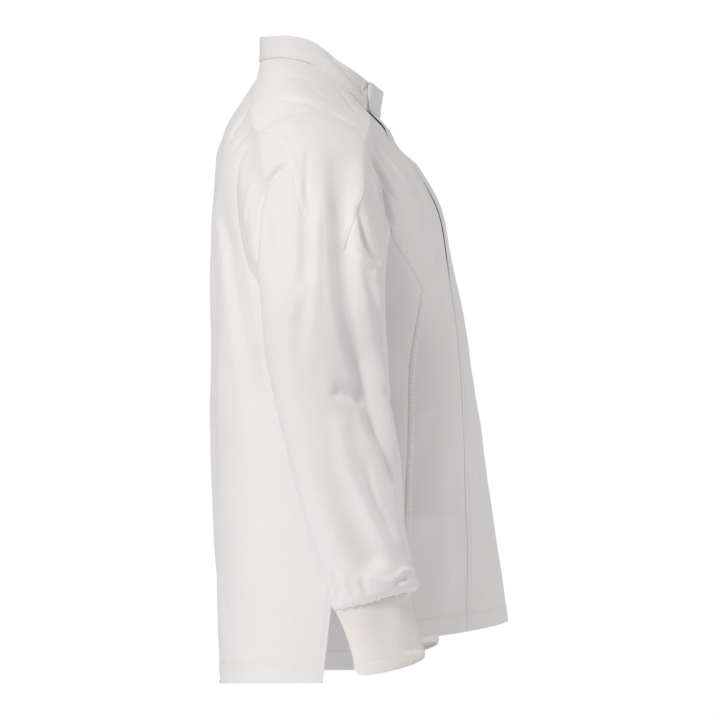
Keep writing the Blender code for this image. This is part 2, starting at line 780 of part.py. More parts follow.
def wall_mesh(name, points, normals, faces):
    """A closed wall: the outer surface, the same moved in by the cloth's thickness, and rims."""
    rim = rim_edges(faces)
    moves = seam_insets(points, faces, rim)
    mesh = bmesh.new()
    outer, inner = {}, {}
    for k in sorted({k for face in faces for k in face}):
        place = points[k] + moves.get(k, 0)
        outer[k] = mesh.verts.new(place)
        inner[k] = mesh.verts.new(place - normals[k] * WALL)
    for face in faces:
        mesh.faces.new([outer[k] for k in face])
        mesh.faces.new([inner[k] for k in face[::-1]])
    for a, b in rim:
        mesh.faces.new([outer[b], outer[a], inner[a], inner[b]])
    data = bpy.data.meshes.new(name)
    mesh.to_mesh(data)
    mesh.free()
    return data


def cloth_material(name, colour):
    material = bpy.data.materials.new(name)
    material.use_nodes = True
    shader = material.node_tree.nodes["Principled BSDF"]
    shader.inputs["Base Color"].default_value = colour
    shader.inputs["Roughness"].default_value = ROUGHNESS
    shader.inputs["Metallic"].default_value = 0.0
    return material


def clear_scene():
    for obj in list(bpy.data.objects):
        bpy.data.objects.remove(obj)


def main():
    clear_scene()
    points, faces = seam_points(surfaces())
    normals = point_normals(points, faces)
    for name, own_faces in faces.items():
        data = wall_mesh(name, points, normals, own_faces)
        is_rib = name.startswith("cuff")
        data.materials.append(cloth_material(name, RIB_WHITE if is_rib else CLOTH_WHITE))
        data.shade_smooth()
        data.set_sharp_from_angle(angle=radians(SHARP_FROM))
        bpy.context.scene.collection.objects.link(bpy.data.objects.new(name, data))


main()
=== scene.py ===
"""The looks of a long-sleeved uniform tunic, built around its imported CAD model.

The cloth is made again as thin shells on the same form as the CAD walls: the same tables of
body rings, armhole and sleeve sections, read much more finely, with folds, seams, hems and
stitches added. The origin is between the shoulders at the base of the neck, +Z is up, the
front faces -Y and the wearer's right is -X. All sizes are in metres.
"""

from typing import NamedTuple

import bpy
import numpy as np
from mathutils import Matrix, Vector
from mathutils.bvhtree import BVHTree
from mathutils.kdtree import KDTree


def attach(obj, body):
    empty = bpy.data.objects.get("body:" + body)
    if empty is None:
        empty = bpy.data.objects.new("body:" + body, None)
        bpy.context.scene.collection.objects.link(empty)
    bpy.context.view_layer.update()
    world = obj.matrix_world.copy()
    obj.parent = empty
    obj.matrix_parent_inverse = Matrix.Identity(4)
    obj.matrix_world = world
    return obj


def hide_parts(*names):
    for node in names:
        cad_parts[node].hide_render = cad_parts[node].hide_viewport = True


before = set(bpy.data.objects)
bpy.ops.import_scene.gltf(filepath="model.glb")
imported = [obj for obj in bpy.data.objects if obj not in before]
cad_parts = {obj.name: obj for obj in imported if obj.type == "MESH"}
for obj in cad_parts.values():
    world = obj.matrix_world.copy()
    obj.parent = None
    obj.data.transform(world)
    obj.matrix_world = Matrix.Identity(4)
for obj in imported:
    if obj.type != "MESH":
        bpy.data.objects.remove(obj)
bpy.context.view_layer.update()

RING_BASE = -0.730  # height of the lowest body ring
RING_CENTRE_Y = -0.010  # the angles of the top line are taken about this axis
RING_SAG = 1.6  # how a ring's height goes from its front or back to its side, as a power of x

# Body rings: level, height at the front, side and back, half width, y at the front, side and
# back, and how square the front and back halves are (2 is an ellipse).
BODY_RINGS = [
    # level,  z_front, z_side, z_back, half_w, y_front, y_side, y_back, sq_f, sq_b
    (0.000, -0.730, -0.730, -0.730, 0.204, -0.237, -0.040, 0.105, 1.75, 2.6),
    (0.090, -0.640, -0.640, -0.640, 0.204, -0.228, -0.038, 0.108, 1.80, 2.6),
    (0.210, -0.520, -0.520, -0.520, 0.203, -0.211, -0.034, 0.114, 1.95, 2.6),
    (0.330, -0.400, -0.400, -0.400, 0.201, -0.195, -0.030, 0.117, 2.40, 2.7),
    (0.430, -0.300, -0.300, -0.300, 0.201, -0.178, -0.026, 0.117, 2.75, 2.8),
    (0.500, -0.226, -0.235, -0.222, 0.200, -0.163, -0.022, 0.117, 2.85, 2.9),
    (0.560, -0.168, -0.185, -0.150, 0.198, -0.151, -0.018, 0.113, 2.85, 3.0),
    (0.610, -0.120, -0.140, -0.086, 0.195, -0.124, -0.014, 0.102, 2.90, 3.2),
]

# The top line of front and back, half of it, from the centre front to the centre back:
# the front neckline, the front yoke seam, the shoulder end and the back yoke seam.
TOP_LEVEL = 0.665
TOP_LINE = [
    # x,      y,      z
    (0.000, -0.0825, -0.064),  # centre front of the neck
    (0.024, -0.0785, -0.061),
    (0.043, -0.070, -0.055),  # front end of the yoke
    (0.100, -0.075, -0.068),
    (0.150, -0.076, -0.081),
    (0.178, -0.074, -0.090),  # front corner of the armhole
    (0.187, -0.052, -0.077),
    (0.192, -0.012, -0.064),  # shoulder end
    (0.189, 0.028, -0.072),
    (0.183, 0.050, -0.086),  # back corner of the armhole
    (0.145, 0.060, -0.068),
    (0.090, 0.063, -0.044),
    (0.040, 0.061, -0.023),
    (0.000, 0.060, -0.014),  # centre back, under the collar
]
NECK_END, FRONT_CORNER, BACK_CORNER = 2, 5, 9  # rows of the top line

# Half of the neckline, from the front end of the yoke to the centre back.
NECKLINE = [
    # x,      y,      z
    (0.043, -0.070, -0.055),
    (0.058, -0.050, -0.036),
    (0.065, -0.030, -0.019),
    (0.067, -0.004, -0.002),
    (0.060, 0.024, 0.006),
    (0.042, 0.046, 0.005),
    (0.020, 0.056, 0.003),
    (0.000, 0.058, 0.002),
]

# The top edge of the stand collar: at the front by x, then over the neckline's places.
COLLAR_TOP_FRONT = [
    # x,      y,      z
    (0.000, -0.0845, -0.034),
    (0.024, -0.0790, -0.029),
    (0.042, -0.070, -0.021),
]
COLLAR_TOP = [
    # x,      y,      z
    (0.042, -0.070, -0.021),
    (0.054, -0.052, -0.007),
    (0.060, -0.032, 0.006),
    (0.061, -0.004, 0.025),
    (0.055, 0.022, 0.031),
    (0.040, 0.045, 0.031),
    (0.020, 0.056, 0.031),
    (0.000, 0.059, 0.031),
]

# The armhole from the armpit up, by its front and its back: nine stations of each.
ARMHOLE_STEPS = 8
ARMHOLE = [
    # y_front, z_front, y_back, z_back
    (-0.018, -0.270, -0.018, -0.270),  # armpit
    (-0.050, -0.264, 0.012, -0.268),
    (-0.078, -0.250, 0.038, -0.260),
    (-0.096, -0.224, 0.056, -0.243),
    (-0.101, -0.194, 0.068, -0.212),  # top of the princess seam
    (-0.092, -0.170, 0.074, -0.176),
    (-0.086, -0.144, 0.074, -0.140),
    (-0.080, -0.116, 0.068, -0.110),
]

# The princess seam below the armhole: a slant to a corner, then down to the hem.
PRINCESS_SLANT = [
    # y,      z
    (-0.101, -0.194),
    (-0.108, -0.214),
    (-0.120, -0.234),
    (-0.129, -0.250),
    (-0.138, -0.266),
]
PRINCESS_HEM_Y = -0.117
PRINCESS_DROP = [
    # level,  y
    (0.150, -0.118),
    (0.210, -0.119),
    (0.270, -0.121),
    (0.330, -0.123),
    (0.395, -0.127),
]
SIDE_SEAM = [
    # level,  y
    (0.150, -0.042),
    (0.270, -0.036),
    (0.395, -0.024),
]

# The side slits: y of the back's edge on the right and left side, and of the side panel's.
SLIT_TOP = 0.150
SLIT = [
    # level,  y_back_right, y_back_left, y_side_panel
    (0.000, -0.023, -0.042, -0.092),
    (0.050, -0.029, -0.044, -0.086),
    (0.100, -0.035, -0.044, -0.066),
    (0.150, -0.042, -0.042, -0.042),
]

# Hems: height at the centre and at the side.
FRONT_HEM = (-0.657, -0.676)
BACK_HEM = (-0.729, -0.722)
HEM_HALF_WIDTH = 0.204
HEM_SAG = 1.5  # how a hem goes from the centre to the side, as a power of x

# The overlap: x of the over front's edge, by level. The under front reaches past the centre.
OVERLAP_EDGE = [
    # level,  x
    (0.000, -0.120),
    (0.060, -0.114),
    (0.210, -0.100),
    (0.330, -0.098),
    (0.400, -0.091),
    (0.460, -0.069),
    (0.520, -0.051),
    (0.600, -0.039),
    (0.665, -0.038),
]
UNDER_EDGE_X = 0.024
OVERLAP_RISE = 0.0019  # how far the over front lies outside the under one
# What is added to the rise beside the over front's free edge, by height: it lies close there,
# but stands away at the neck and a little on the chest.
OVERLAP_CLOSE = 0.0012  # taken away everywhere else
CHEST_LIFT = -0.0004
NECK_LIFT = 0.0012
OVERLAP_EDGE_REACH = 0.030  # how far from the edge this is felt
CHEST_FROM = (-0.275, -0.215)  # heights between which the chest begins, going up
CHEST_TO = (-0.165, -0.130)
NECK_FROM = (-0.088, -0.070)

# Sleeve sections below the shoulder: height, centre and half sizes in x and y, and how
# steeply the section falls towards the back and towards the outside.
SLEEVE = [
    # z,      x,      half_x, y,      half_y, slope, lean
    (-0.300, -0.257, 0.045, -0.027, 0.071, 0.00, 0.0),
    (-0.358, -0.257, 0.044, -0.034, 0.068, 0.02, 0.0),
    (-0.400, -0.256, 0.043, -0.040, 0.066, 0.04, 0.0),
    (-0.441, -0.255, 0.042, -0.048, 0.063, 0.06, 0.0),
    (-0.504, -0.253, 0.041, -0.061, 0.060, 0.10, 0.0),
    (-0.545, -0.252, 0.040, -0.069, 0.055, 0.14, 0.0),
    (-0.580, -0.251, 0.039, -0.077, 0.050, 0.18, 0.0),
    (-0.603, -0.251, 0.039, -0.083, 0.049, 0.21, 0.0),
    (-0.617, -0.250, 0.038, -0.087, 0.050, 0.23, 0.0),
    (-0.626, -0.247, 0.030, -0.086, 0.044, 0.24, 0.0),
]
CUFF = [
    # z,      x,      half_x, y,      half_y, slope, lean
    (-0.626, -0.247, 0.030, -0.086, 0.044, 0.24, 0.00),
    (-0.638, -0.246, 0.0275, -0.089, 0.0405, 0.24, 0.05),
    (-0.661, -0.245, 0.0270, -0.097, 0.0395, 0.24, 0.12),
    (-0.685, -0.245, 0.0275, -0.103, 0.0395, 0.24, 0.18),
    (-0.699, -0.245, 0.0280, -0.1055, 0.0400, 0.24, 0.23),
]
SLEEVE_SQUARENESS = 2.15
ARMHOLE_CENTRE = (-0.012, -0.170)  # y and z; the sleeve's angles at the armhole are about it

# The part of the yoke that lies on the sleeve, as the side shows it: its front and back
# edges from the armhole down, and the slanted end between them.
TONGUE_ROWS = 5
TONGUE_FRONT = [
    # y,      z
    (-0.0765, -0.110),
    (-0.0775, -0.135),
    (-0.0720, -0.163),
    (-0.0645, -0.191),
    (-0.0560, -0.220),
]
TONGUE_BACK = [
    # y,      z
    (0.0300, -0.090),
    (0.0160, -0.108),
    (0.0070, -0.133),
    (0.0000, -0.160),
    (-0.0060, -0.186),
]

CAP_LEAVE_TOP = np.array((-0.62, 0.0, -0.24))  # how the sleeve leaves the shoulder
CAP_LEAVE_ARMPIT = np.array((-0.90, 0.0, -0.35))
ARMPIT_REACH = (0.10, 0.02)  # where the distance to the first section tells cap from armpit
SLEEVE_RELAX = 0.6  # how far the sleeve's columns even out below the armhole

# ---------------------------------------------------------------- the form

# Rows of the body, as places along a seam from the hem up. Row 0 is the hem.
SLIT_ROW = 1  # top of the slits
ARMPIT_ROW = 6  # also the corner of the princess seam
TIP_ROW = 10  # the princess seam meets the armhole
TOP_ROW = 14  # the yoke seams
BODY_LEVELS = (0.150, 0.210, 0.270, 0.330, 0.395)
CENTRE_COLUMNS = 4  # of a front, from its free edge to the end of the yoke
YOKE_STATIONS = 8  # of the armhole, over the shoulder end
NECK_STATIONS = 7  # of the neckline, to the centre back
STATIONS = YOKE_STATIONS + 2 * ARMHOLE_STEPS
WIDEST_BY_X = 84.0  # columns even out in x only up to this angle from the centre
EVEN_BY_LEVEL = 4  # and only near the top line, by this power of the level
CAP_ROWS = 3  # of the sleeve, from the end of the tongue to the first section

STEP = 0.0040  # usual distance between the points of the cloth
EDGE_MARKS = (0.0, 0.0004, 0.0009, 0.0015, 0.0024, 0.0036, 0.0052, 0.0075)


def smoothstep(low, high, value):
    t = np.clip((value - low) / (high - low), 0, 1)
    return t * t * (3 - 2 * t)


def unit(vectors):
    return vectors / np.maximum(np.linalg.norm(vectors, axis=-1, keepdims=True), 1e-12)


def cubic(start, end, leave, arrive, t):
    """The curve from start to end that leaves and arrives at these rates, for t from 0 to 1."""
    first = start * (2 * t**3 - 3 * t**2 + 1) + leave * (t**3 - 2 * t**2 + t)
    return first + end * (3 * t**2 - 2 * t**3) + arrive * (t**3 - t**2)


def spline(params, rows, at, paired=False):
    """A smooth curve through the rows, one for each param, read at the given params.

    Paired rows hold a curve for each of the params that are read.
    """
    params = np.asarray(params, float)
    rows = np.asarray(rows, float)
    at = np.clip(np.asarray(at, float), params[0], params[-1])
    more = (1,) * (rows.ndim - 1)
    spans = np.diff(params).reshape(-1, *more)
    slopes = np.diff(rows, axis=0) / spans
    share = spans[1:] / (spans[:-1] + spans[1:])
    inner = slopes[:-1] * share + slopes[1:] * (1 - share)
    tangents = np.concatenate([slopes[:1], inner, slopes[-1:]])
    span = np.clip(np.searchsorted(params, at, side="right") - 1, 0, len(params) - 2)
    own = (np.arange(len(at)),) if paired else ()
    start, end = rows[(span, *own)], rows[(span + 1, *own)]
    leave, arrive = tangents[(span, *own)], tangents[(span + 1, *own)]
    width = params[span + 1] - params[span]
    t = (at - params[span]) / width
    spread_over = (1,) * (start.ndim - t.ndim)
    t = t.reshape(t.shape + spread_over)
    width = width.reshape(width.shape + spread_over)
    return cubic(start, end, leave * width, arrive * width, t)


def through(rows, at):
    """A smooth curve through evenly numbered rows, read at fractions of a row."""
    return spline(np.arange(len(rows)), rows, at)


def column(rows, index):
    return [row[index] for row in rows]


def top_line_angles():
    """The angle of each row of the top line, in degrees."""
    rows = np.array(TOP_LINE)
    return np.degrees(np.arctan2(rows[:, 0], RING_CENTRE_Y - rows[:, 1]))


TOP_ANGLES = top_line_angles()
NECK_ANGLE, FRONT_CORNER_ANGLE, BACK_CORNER_ANGLE = TOP_ANGLES[[NECK_END, FRONT_CORNER, BACK_CORNER]]


def ring_point(ring, angle):
    """Points of one body ring."""
    _, z_front, z_side, z_back, half, y_front, y_side, y_back, sq_front, sq_back = ring
    across = np.abs(np.sin(np.radians(angle)))
    along = np.cos(np.radians(angle))
    is_front = along > 0
    reach = np.where(is_front, y_side - y_front, y_back - y_side)
    square = np.where(is_front, sq_front, sq_back)
    radius = ((across / half) ** square + (np.abs(along) / reach) ** square) ** (-1 / square)
    x = -np.sin(np.radians(angle)) * radius
    side = (np.abs(x) / half) ** RING_SAG
    z = np.where(is_front, z_front, z_back) * (1 - side) + z_side * side
    return np.stack([x, y_side - along * radius, z], axis=-1)


def top_point(angle):
    """Points of the top line."""
    point = spline(TOP_ANGLES, TOP_LINE, np.abs(angle))
    point[..., 0] *= -np.sign(angle)
    return point


def body(angle, level):
    """Points of the body's surface. Angles past 180 come round the back to the other side."""
    angle, level = np.broadcast_arrays(np.asarray(angle, float), np.asarray(level, float))
    flat = (angle.reshape(-1) + 180) % 360 - 180
    stack = np.stack([ring_point(ring, flat) for ring in BODY_RINGS] + [top_point(flat)])
    levels = column(BODY_RINGS, 0) + [TOP_LEVEL]
    return spline(levels, stack, level.reshape(-1), paired=True).reshape(angle.shape + (3,))


def halve(low, high, is_low, shape):
    """The places between low and high where the test stops being true."""
    low, high = np.full(shape, float(low)), np.full(shape, float(high))
    for _ in range(30):
        middle = (low + high) / 2
        near = is_low(middle)
        low, high = np.where(near, middle, low), np.where(near, high, middle)
    return (low + high) / 2


def body_angle(y, level):
    """The angles on the wearer's right where the body at these levels has this y."""
    return halve(1, 179, lambda angle: body(angle, level)[..., 1] < y, np.shape(level))


def edge_angle(x, level):
    """The angles near the centre front where the body at these levels has this x."""
    return halve(-60, 60, lambda angle: body(angle, level)[..., 0] > x, np.shape(level))


def seek(surface, y, z, start, steps, limits):
    """The two parameters where a surface has this y and z, sought from a near start."""
    spot = np.array(start, float)
    target = np.array([y, z])
    steps = np.array(steps)
    for _ in range(15):
        here = surface(*spot)[1:]
        by_first = (surface(spot[0] + steps[0], spot[1])[1:] - here) / steps[0]
        by_second = (surface(spot[0], spot[1] + steps[1])[1:] - here) / steps[1]
        move = np.linalg.solve(np.stack([by_first, by_second], axis=1), target - here)
        spot += np.clip(move, -1e4 * steps, 1e4 * steps)
        spot[1] = np.clip(spot[1], *limits)
    return tuple(spot)


def body_spots(rows, start):
    """Angle and level of each (y, z) row, each sought from the one before it."""
    found = []
    for y, z in rows:
        start = seek(body, y, z, start, (1e-3, 5e-6), (0.0, TOP_LEVEL - 0.001))
        found.append(start)
    return found


def armhole_branch(first_column, corner_angle):
    """Angle and level of the armhole's stations, from the armpit up."""
    rows = [row[first_column : first_column + 2] for row in ARMHOLE]
    return body_spots(rows, (90.0, 0.46)) + [(corner_angle, TOP_LEVEL)]


ARMHOLE_FRONT = armhole_branch(0, FRONT_CORNER_ANGLE)
ARMHOLE_BACK = armhole_branch(2, BACK_CORNER_ANGLE)
PRINCESS_UPPER = body_spots(PRINCESS_SLANT[::-1], (60.0, 0.47))


def hem_level(angles, hem):
    """The level of a hem at these angles, from its height at the centre and at the side."""
    side = np.minimum(np.abs(body(angles, SLIT_TOP / 2)[..., 0]) / HEM_HALF_WIDTH, 1)
    return hem[0] + (hem[1] - hem[0]) * side**HEM_SAG - RING_BASE


def over_hem(angles, hem, row):
    """Levels part of the way from a hem up to the top of the slits."""
    start = hem_level(angles, hem)
    return start + (SLIT_TOP - start) * row[:, None]


def slit_levels(row, hem):
    """The level at the side of each row from the hem up to the top of the slits."""
    start = hem[1] - RING_BASE
    return start + (SLIT_TOP - start) * np.clip(row, 0, 1)


def side_rows(table, last):
    """Places on the body at BODY_LEVELS, with y from a table, and the place after them."""
    levels = np.array(BODY_LEVELS)
    angles = body_angle(spline(column(table, 0), column(table, 1), levels), levels)
    return [*zip(angles, levels), last]


PRINCESS_LOWER = side_rows(PRINCESS_DROP, PRINCESS_UPPER[0])
SIDE_LOWER = side_rows(SIDE_SEAM, ARMHOLE_FRONT[0])


def stretches(row, *parts):
    """Angle and level at each row of a seam that is made of several stretches."""
    found = parts[0][1](row)
    for first, places in parts[1:]:
        found = np.where((row > first)[:, None], places(row), found)
    return found


def princess(row):
    """Angle and level of a front's outer seam: the princess seam, then the armhole."""
    levels = slit_levels(row, FRONT_HEM)
    depth = PRINCESS_HEM_Y + (PRINCESS_DROP[0][1] - PRINCESS_HEM_Y) * np.clip(row, 0, 1)
    hem = np.stack([body_angle(depth, levels), levels], axis=-1)
    return stretches(
        row,
        (0, lambda at: hem),
        (SLIT_ROW, lambda at: through(PRINCESS_LOWER, at - SLIT_ROW)),
        (ARMPIT_ROW, lambda at: through(PRINCESS_UPPER, at - ARMPIT_ROW)),
        (TIP_ROW, lambda at: through(ARMHOLE_FRONT, at - ARMPIT_ROW)),
    )


def side_edge(row, hem, slit_column, armhole_places):
    """Angle and level of the slit's edge, then the side seam, then one side of the armhole."""
    levels = slit_levels(row, hem)
    depth = spline(column(SLIT, 0), column(SLIT, slit_column), levels)
    slit = np.stack([body_angle(depth, levels), levels], axis=-1)
    return stretches(
        row,
        (0, lambda at: slit),
        (SLIT_ROW, lambda at: through(SIDE_LOWER, at - SLIT_ROW)),
        (ARMPIT_ROW, lambda at: through(armhole_places, at - ARMPIT_ROW)),
    )


def centre_level(row, armpit):
    """The level at the centre of front and back: even steps above the armpit."""
    levels = [*BODY_LEVELS, armpit]
    lower = through(levels, row - SLIT_ROW)
    upper = armpit + (TOP_LEVEL - armpit) * (row - ARMPIT_ROW) / ARMHOLE_STEPS
    return np.where(row > ARMPIT_ROW, upper, lower)


def spread(start, end, level, part):
    """Angles along a yoke seam. At the top line, which is nearly straight, they even out in x."""
    start, end, level = (np.asarray(value, float)[..., None] for value in (start, end, level))
    near = np.minimum(start, WIDEST_BY_X), np.minimum(end, WIDEST_BY_X)
    by_turn = start + (end - start) * part
    tangents = np.tan(np.radians(near[0])), np.tan(np.radians(near[1]))
    by_x = np.degrees(np.arctan(tangents[0] + (tangents[1] - tangents[0]) * part))
    by_x = by_x + (start - near[0]) * (1 - part) + (end - near[1]) * part
    return by_turn + (by_x - by_turn) * (level / TOP_LEVEL) ** EVEN_BY_LEVEL


def overlap_x(level):
    """The x of the over front's edge at these levels."""
    return spline(column(OVERLAP_EDGE, 0), column(OVERLAP_EDGE, 1), level)


def front_angles(level, outer, is_over, centre, across):
    """Angles of a front's rows, from the free edge to the outer seam.

    The over front is on the wearer's left, so its outer seam is at the negative angle.
    """
    under, over = edge_angle(UNDER_EDGE_X, level), edge_angle(overlap_x(level), level)
    neck = np.maximum(NECK_ANGLE * (0.6 + 0.4 * level / TOP_LEVEL), over + 2)
    far = spread(neck, outer, level, across)
    zero = np.zeros_like(level)
    if is_over:
        stops, far = [over, over / 2, zero, under, -neck], -far
    else:
        stops = [under, zero, over / 2, over, neck]
    stops = np.stack(stops, axis=-1)
    whole = np.clip(centre.astype(int), 0, CENTRE_COLUMNS - 1)
    part = centre - whole
    near = stops[:, whole] * (1 - part) + stops[:, whole + 1] * part
    return np.concatenate([near[:, :-1], far], axis=1)


def front_grid(is_over, rows, centre, across):
    """Rows from the hem up and columns from the free edge to the outer seam."""
    outer, level = princess(rows).T
    angles = front_angles(level, outer, is_over, centre, across)
    low = over_hem(angles, FRONT_HEM, rows)
    rise = centre_level(rows, PRINCESS_UPPER[0][1]) - level
    high = level[:, None] + rise[:, None] * (1 - np.abs(angles) / outer[:, None])
    return body(angles, np.where((rows < SLIT_ROW)[:, None], low, high))


def back_grid(rows, across):
    """Rows from the hem up and columns from the wearer's right side to the left one."""
    right, level = side_edge(rows, BACK_HEM, 1, ARMHOLE_BACK).T
    left = side_edge(rows, BACK_HEM, 2, ARMHOLE_BACK)[:, 0]
    first = 180 - spread(180 - right, 0 * right, level, 1 - across[::-1])
    second = 180 + spread(0 * left, 180 - left, level, across)
    angles = np.concatenate([first, second[:, 1:]], axis=1)
    low = over_hem(angles, BACK_HEM, rows)
    centre = centre_level(rows, ARMHOLE_BACK[0][1])[:, None]
    high = centre + (level[:, None] - centre) * np.abs(angles - 180) / (180 - right[:, None])
    return body(angles, np.where((rows < SLIT_ROW)[:, None], low, high))


def side_panel_grid(rows, across):
    """Rows from the hem up and columns from the princess seam back, on the wearer's right."""
    start = princess(rows)
    end = side_edge(rows, FRONT_HEM, 3, ARMHOLE_FRONT)
    places = start[:, None] + (end - start)[:, None] * across[None, :, None]
    low = over_hem(places[..., 0], FRONT_HEM, rows)
    return body(places[..., 0], np.where((rows < SLIT_ROW)[:, None], low, places[..., 1]))


def coons(start, end, first, last, u, v):
    """A grid between four edges: start and end are its first and last rows."""
    u, v = u[:, None, None], v[None, :, None]
    ruled = start[None] * (1 - u) + end[None] * u + first[:, None] * (1 - v) + last[:, None] * v
    near = start[0] * (1 - v) + start[-1] * v
    far = end[0] * (1 - v) + end[-1] * v
    return ruled - near * (1 - u) - far * u


def neckline(station):
    """Points of the right neckline, then down the yoke's centre back edge."""
    centre_back = body(180.0, TOP_LEVEL)
    neck = through(NECKLINE, station) * (-1, 1, 1)
    part = (station - NECK_STATIONS)[:, None]
    edge = np.array(NECKLINE[-1]) * (1 - part) + centre_back * part
    return np.where(part > 0, edge, neck)


def shoulder_grid(stations, across):
    """The right yoke's shoulder part: rows along the neck, columns out to the armhole."""
    front_seam = body(spread(NECK_ANGLE, FRONT_CORNER_ANGLE, TOP_LEVEL, across), TOP_LEVEL)
    back_seam = body(180 - spread(0, 180 - BACK_CORNER_ANGLE, TOP_LEVEL, across), TOP_LEVEL)
    down = stations / YOKE_STATIONS
    return coons(front_seam, back_seam, neckline(stations), armhole(stations), down, across)


def armhole(station):
    """Points of the right armhole: from its front corner over the top, down the back to the
    armpit, and up the front."""
    station = np.asarray(station, float)
    shape = station.shape
    station = station.reshape(-1) % STATIONS
    over_top = FRONT_CORNER_ANGLE + (BACK_CORNER_ANGLE - FRONT_CORNER_ANGLE) * station / YOKE_STATIONS
    places = np.stack([over_top, np.full_like(over_top, TOP_LEVEL)], axis=-1)
    down = through(ARMHOLE_BACK, YOKE_STATIONS + ARMHOLE_STEPS - station)
    up = through(ARMHOLE_FRONT, station - YOKE_STATIONS - ARMHOLE_STEPS)
    places = np.where((station > YOKE_STATIONS)[:, None], down, places)
    places = np.where((station > YOKE_STATIONS + ARMHOLE_STEPS)[:, None], up, places)
    return body(places[:, 0], places[:, 1]).reshape(shape + (3,))


def armhole_turn():
    """The turn of each whole station about the arm: 0 outermost, 90 at the front."""
    points = armhole(np.arange(STATIONS))
    turn = np.degrees(np.arctan2(ARMHOLE_CENTRE[0] - points[:, 1], points[:, 2] - ARMHOLE_CENTRE[1]))
    turn = np.unwrap(turn, period=360)
    return np.append(turn, turn[0] - 360)


ARMHOLE_TURN = armhole_turn()
EVEN_TURN = np.linspace(ARMHOLE_TURN.mean() + 180, ARMHOLE_TURN.mean() - 180, STATIONS + 1)


def section_point(sections, station, index):
    """Points around the sleeve or cuff, between its sections by whole index."""
    z, x, half_x, y, half_y, slope, lean = through(sections, index).T
    station = station % STATIONS
    relax = SLEEVE_RELAX if sections is CUFF else SLEEVE_RELAX * np.minimum(index / 3, 1)
    whole = np.arange(STATIONS + 1)
    turn = spline(whole, ARMHOLE_TURN, station) * (1 - relax)
    turn = np.radians(turn + np.interp(station, whole, EVEN_TURN) * relax)
    along, across = np.cos(turn), np.sin(turn)
    square = 2 / SLEEVE_SQUARENESS
    dx = -half_x * np.sign(along) * np.abs(along) ** square
    dy = -half_y * np.sign(across) * np.abs(across) ** square
    return np.stack([x + dx, y + dy, z - slope * dy + lean * dx], axis=-1)


def sleeve(station, row):
    """Points of the right sleeve: row 0 is the armhole, row 1 the first section."""
    station, row = np.broadcast_arrays(np.asarray(station, float), np.asarray(row, float))
    shape = row.shape
    station, row = station.reshape(-1), row.reshape(-1)
    start = armhole(station)
    end = section_point(SLEEVE, station, np.zeros_like(row))
    reach = np.linalg.norm(end - start, axis=1, keepdims=True)
    below = smoothstep(*ARMPIT_REACH, reach)
    leave = reach * (CAP_LEAVE_TOP * (1 - below) + CAP_LEAVE_ARMPIT * below)
    arrive = reach * np.array((0.0, 0.0, -1.0))
    cap = cubic(start, end, leave, arrive, np.clip(row, 0, 1)[:, None])
    lower = section_point(SLEEVE, station, np.maximum(row - 1, 0))
    return np.where((row > 1)[:, None], lower, cap).reshape(shape + (3,))


def tongue_places():
    """Station and row of the yoke's front and back edges on the sleeve, row by row."""
    edges = []
    for rows, first in ((TONGUE_FRONT, 0.0), (TONGUE_BACK, float(YOKE_STATIONS))):
        place = (first, 0.0)
        found = [place]
        for y, z in rows:
            start = (place[0], place[1] + 0.08)
            place = seek(sleeve, y, z, start, (1e-4, 2e-5), (0.0, 1.0))
            found.append(place)
        edges.append(np.array(found))
    return edges


TONGUE_EDGES = tongue_places()


def sleeve_places(rows, stations):
    """Station and row of the sleeve's grid: TONGUE_ROWS rows down to the end of the tongue,
    then CAP_ROWS more to the first section, then one for each section."""
    front, back = (through(edge, rows) for edge in TONGUE_EDGES)
    stops = [0, YOKE_STATIONS, STATIONS]
    found = []
    for i, row in enumerate(rows):
        at = np.interp(stations, stops, [front[i, 0], back[i, 0], front[i, 0] + STATIONS])
        down = np.interp(stations, stops, [front[i, 1], back[i, 1], front[i, 1]])
        part = np.clip((row - TONGUE_ROWS) / CAP_ROWS, 0, 1)
        at = at + (stations - at) * part
        down = down + (1 - down) * part + max(row - TONGUE_ROWS - CAP_ROWS, 0)
        found.append(np.stack([at, down], axis=-1))
    return np.array(found)


def sleeve_grid(rows, stations):
    places = sleeve_places(rows, stations)
    return sleeve(places[..., 0], places[..., 1])


def cuff_grid(rows, stations):
    stations, rows = np.broadcast_arrays(stations[None], rows[:, None])
    return section_point(CUFF, stations.reshape(-1), rows.reshape(-1)).reshape(rows.shape + (3,))


def collar_grid(rows, centre, stations, over_top):
    """Rows from the neckline up, columns from the under end round the back to the over end,
    which stands on the over front's top row."""
    over_neck = stations[(stations > 0) & (stations <= NECK_STATIONS)]
    bottoms, tops = [], []
    level, outer = np.array([TOP_LEVEL]), np.array([FRONT_CORNER_ANGLE])
    under_angles = front_angles(level, outer, False, centre, np.zeros(1))[0]
    for end in (body(under_angles, TOP_LEVEL), over_top):
        top = spline(column(COLLAR_TOP_FRONT, 0), COLLAR_TOP_FRONT, np.abs(end[:, 0]))
        top[:, 0] *= np.sign(end[:, 0])
        bottoms.append(end)
        tops.append(top)
    tops[1][:, 1] -= overlap_rise(over_top.T)
    neck, brim = neckline(over_neck), through(COLLAR_TOP, over_neck) * (-1, 1, 1)
    far = (-1, 1, 1)
    bottom = np.concatenate([bottoms[0], neck, neck[-2::-1] * far, bottoms[1][::-1]])
    upper = np.concatenate([tops[0], brim, brim[-2::-1] * far, tops[1][::-1]])
    part = rows[:, None, None]
    return bottom * (1 - part) + upper * part


# ---------------------------------------------------------------- the points of the cloth


def marks(length, step=STEP, first=False, last=False):
    """Distances along a line of this length, closer together at the ends that are seams."""
    near = np.array(EDGE_MARKS)
    low = near if first else near[:1]
    high = length - (near if last else near[:1])[::-1]
    count = max(round((high[0] - low[-1]) / step), 1)
    return np.concatenate([low, np.linspace(low[-1], high[0], count + 1)[1:-1], high])


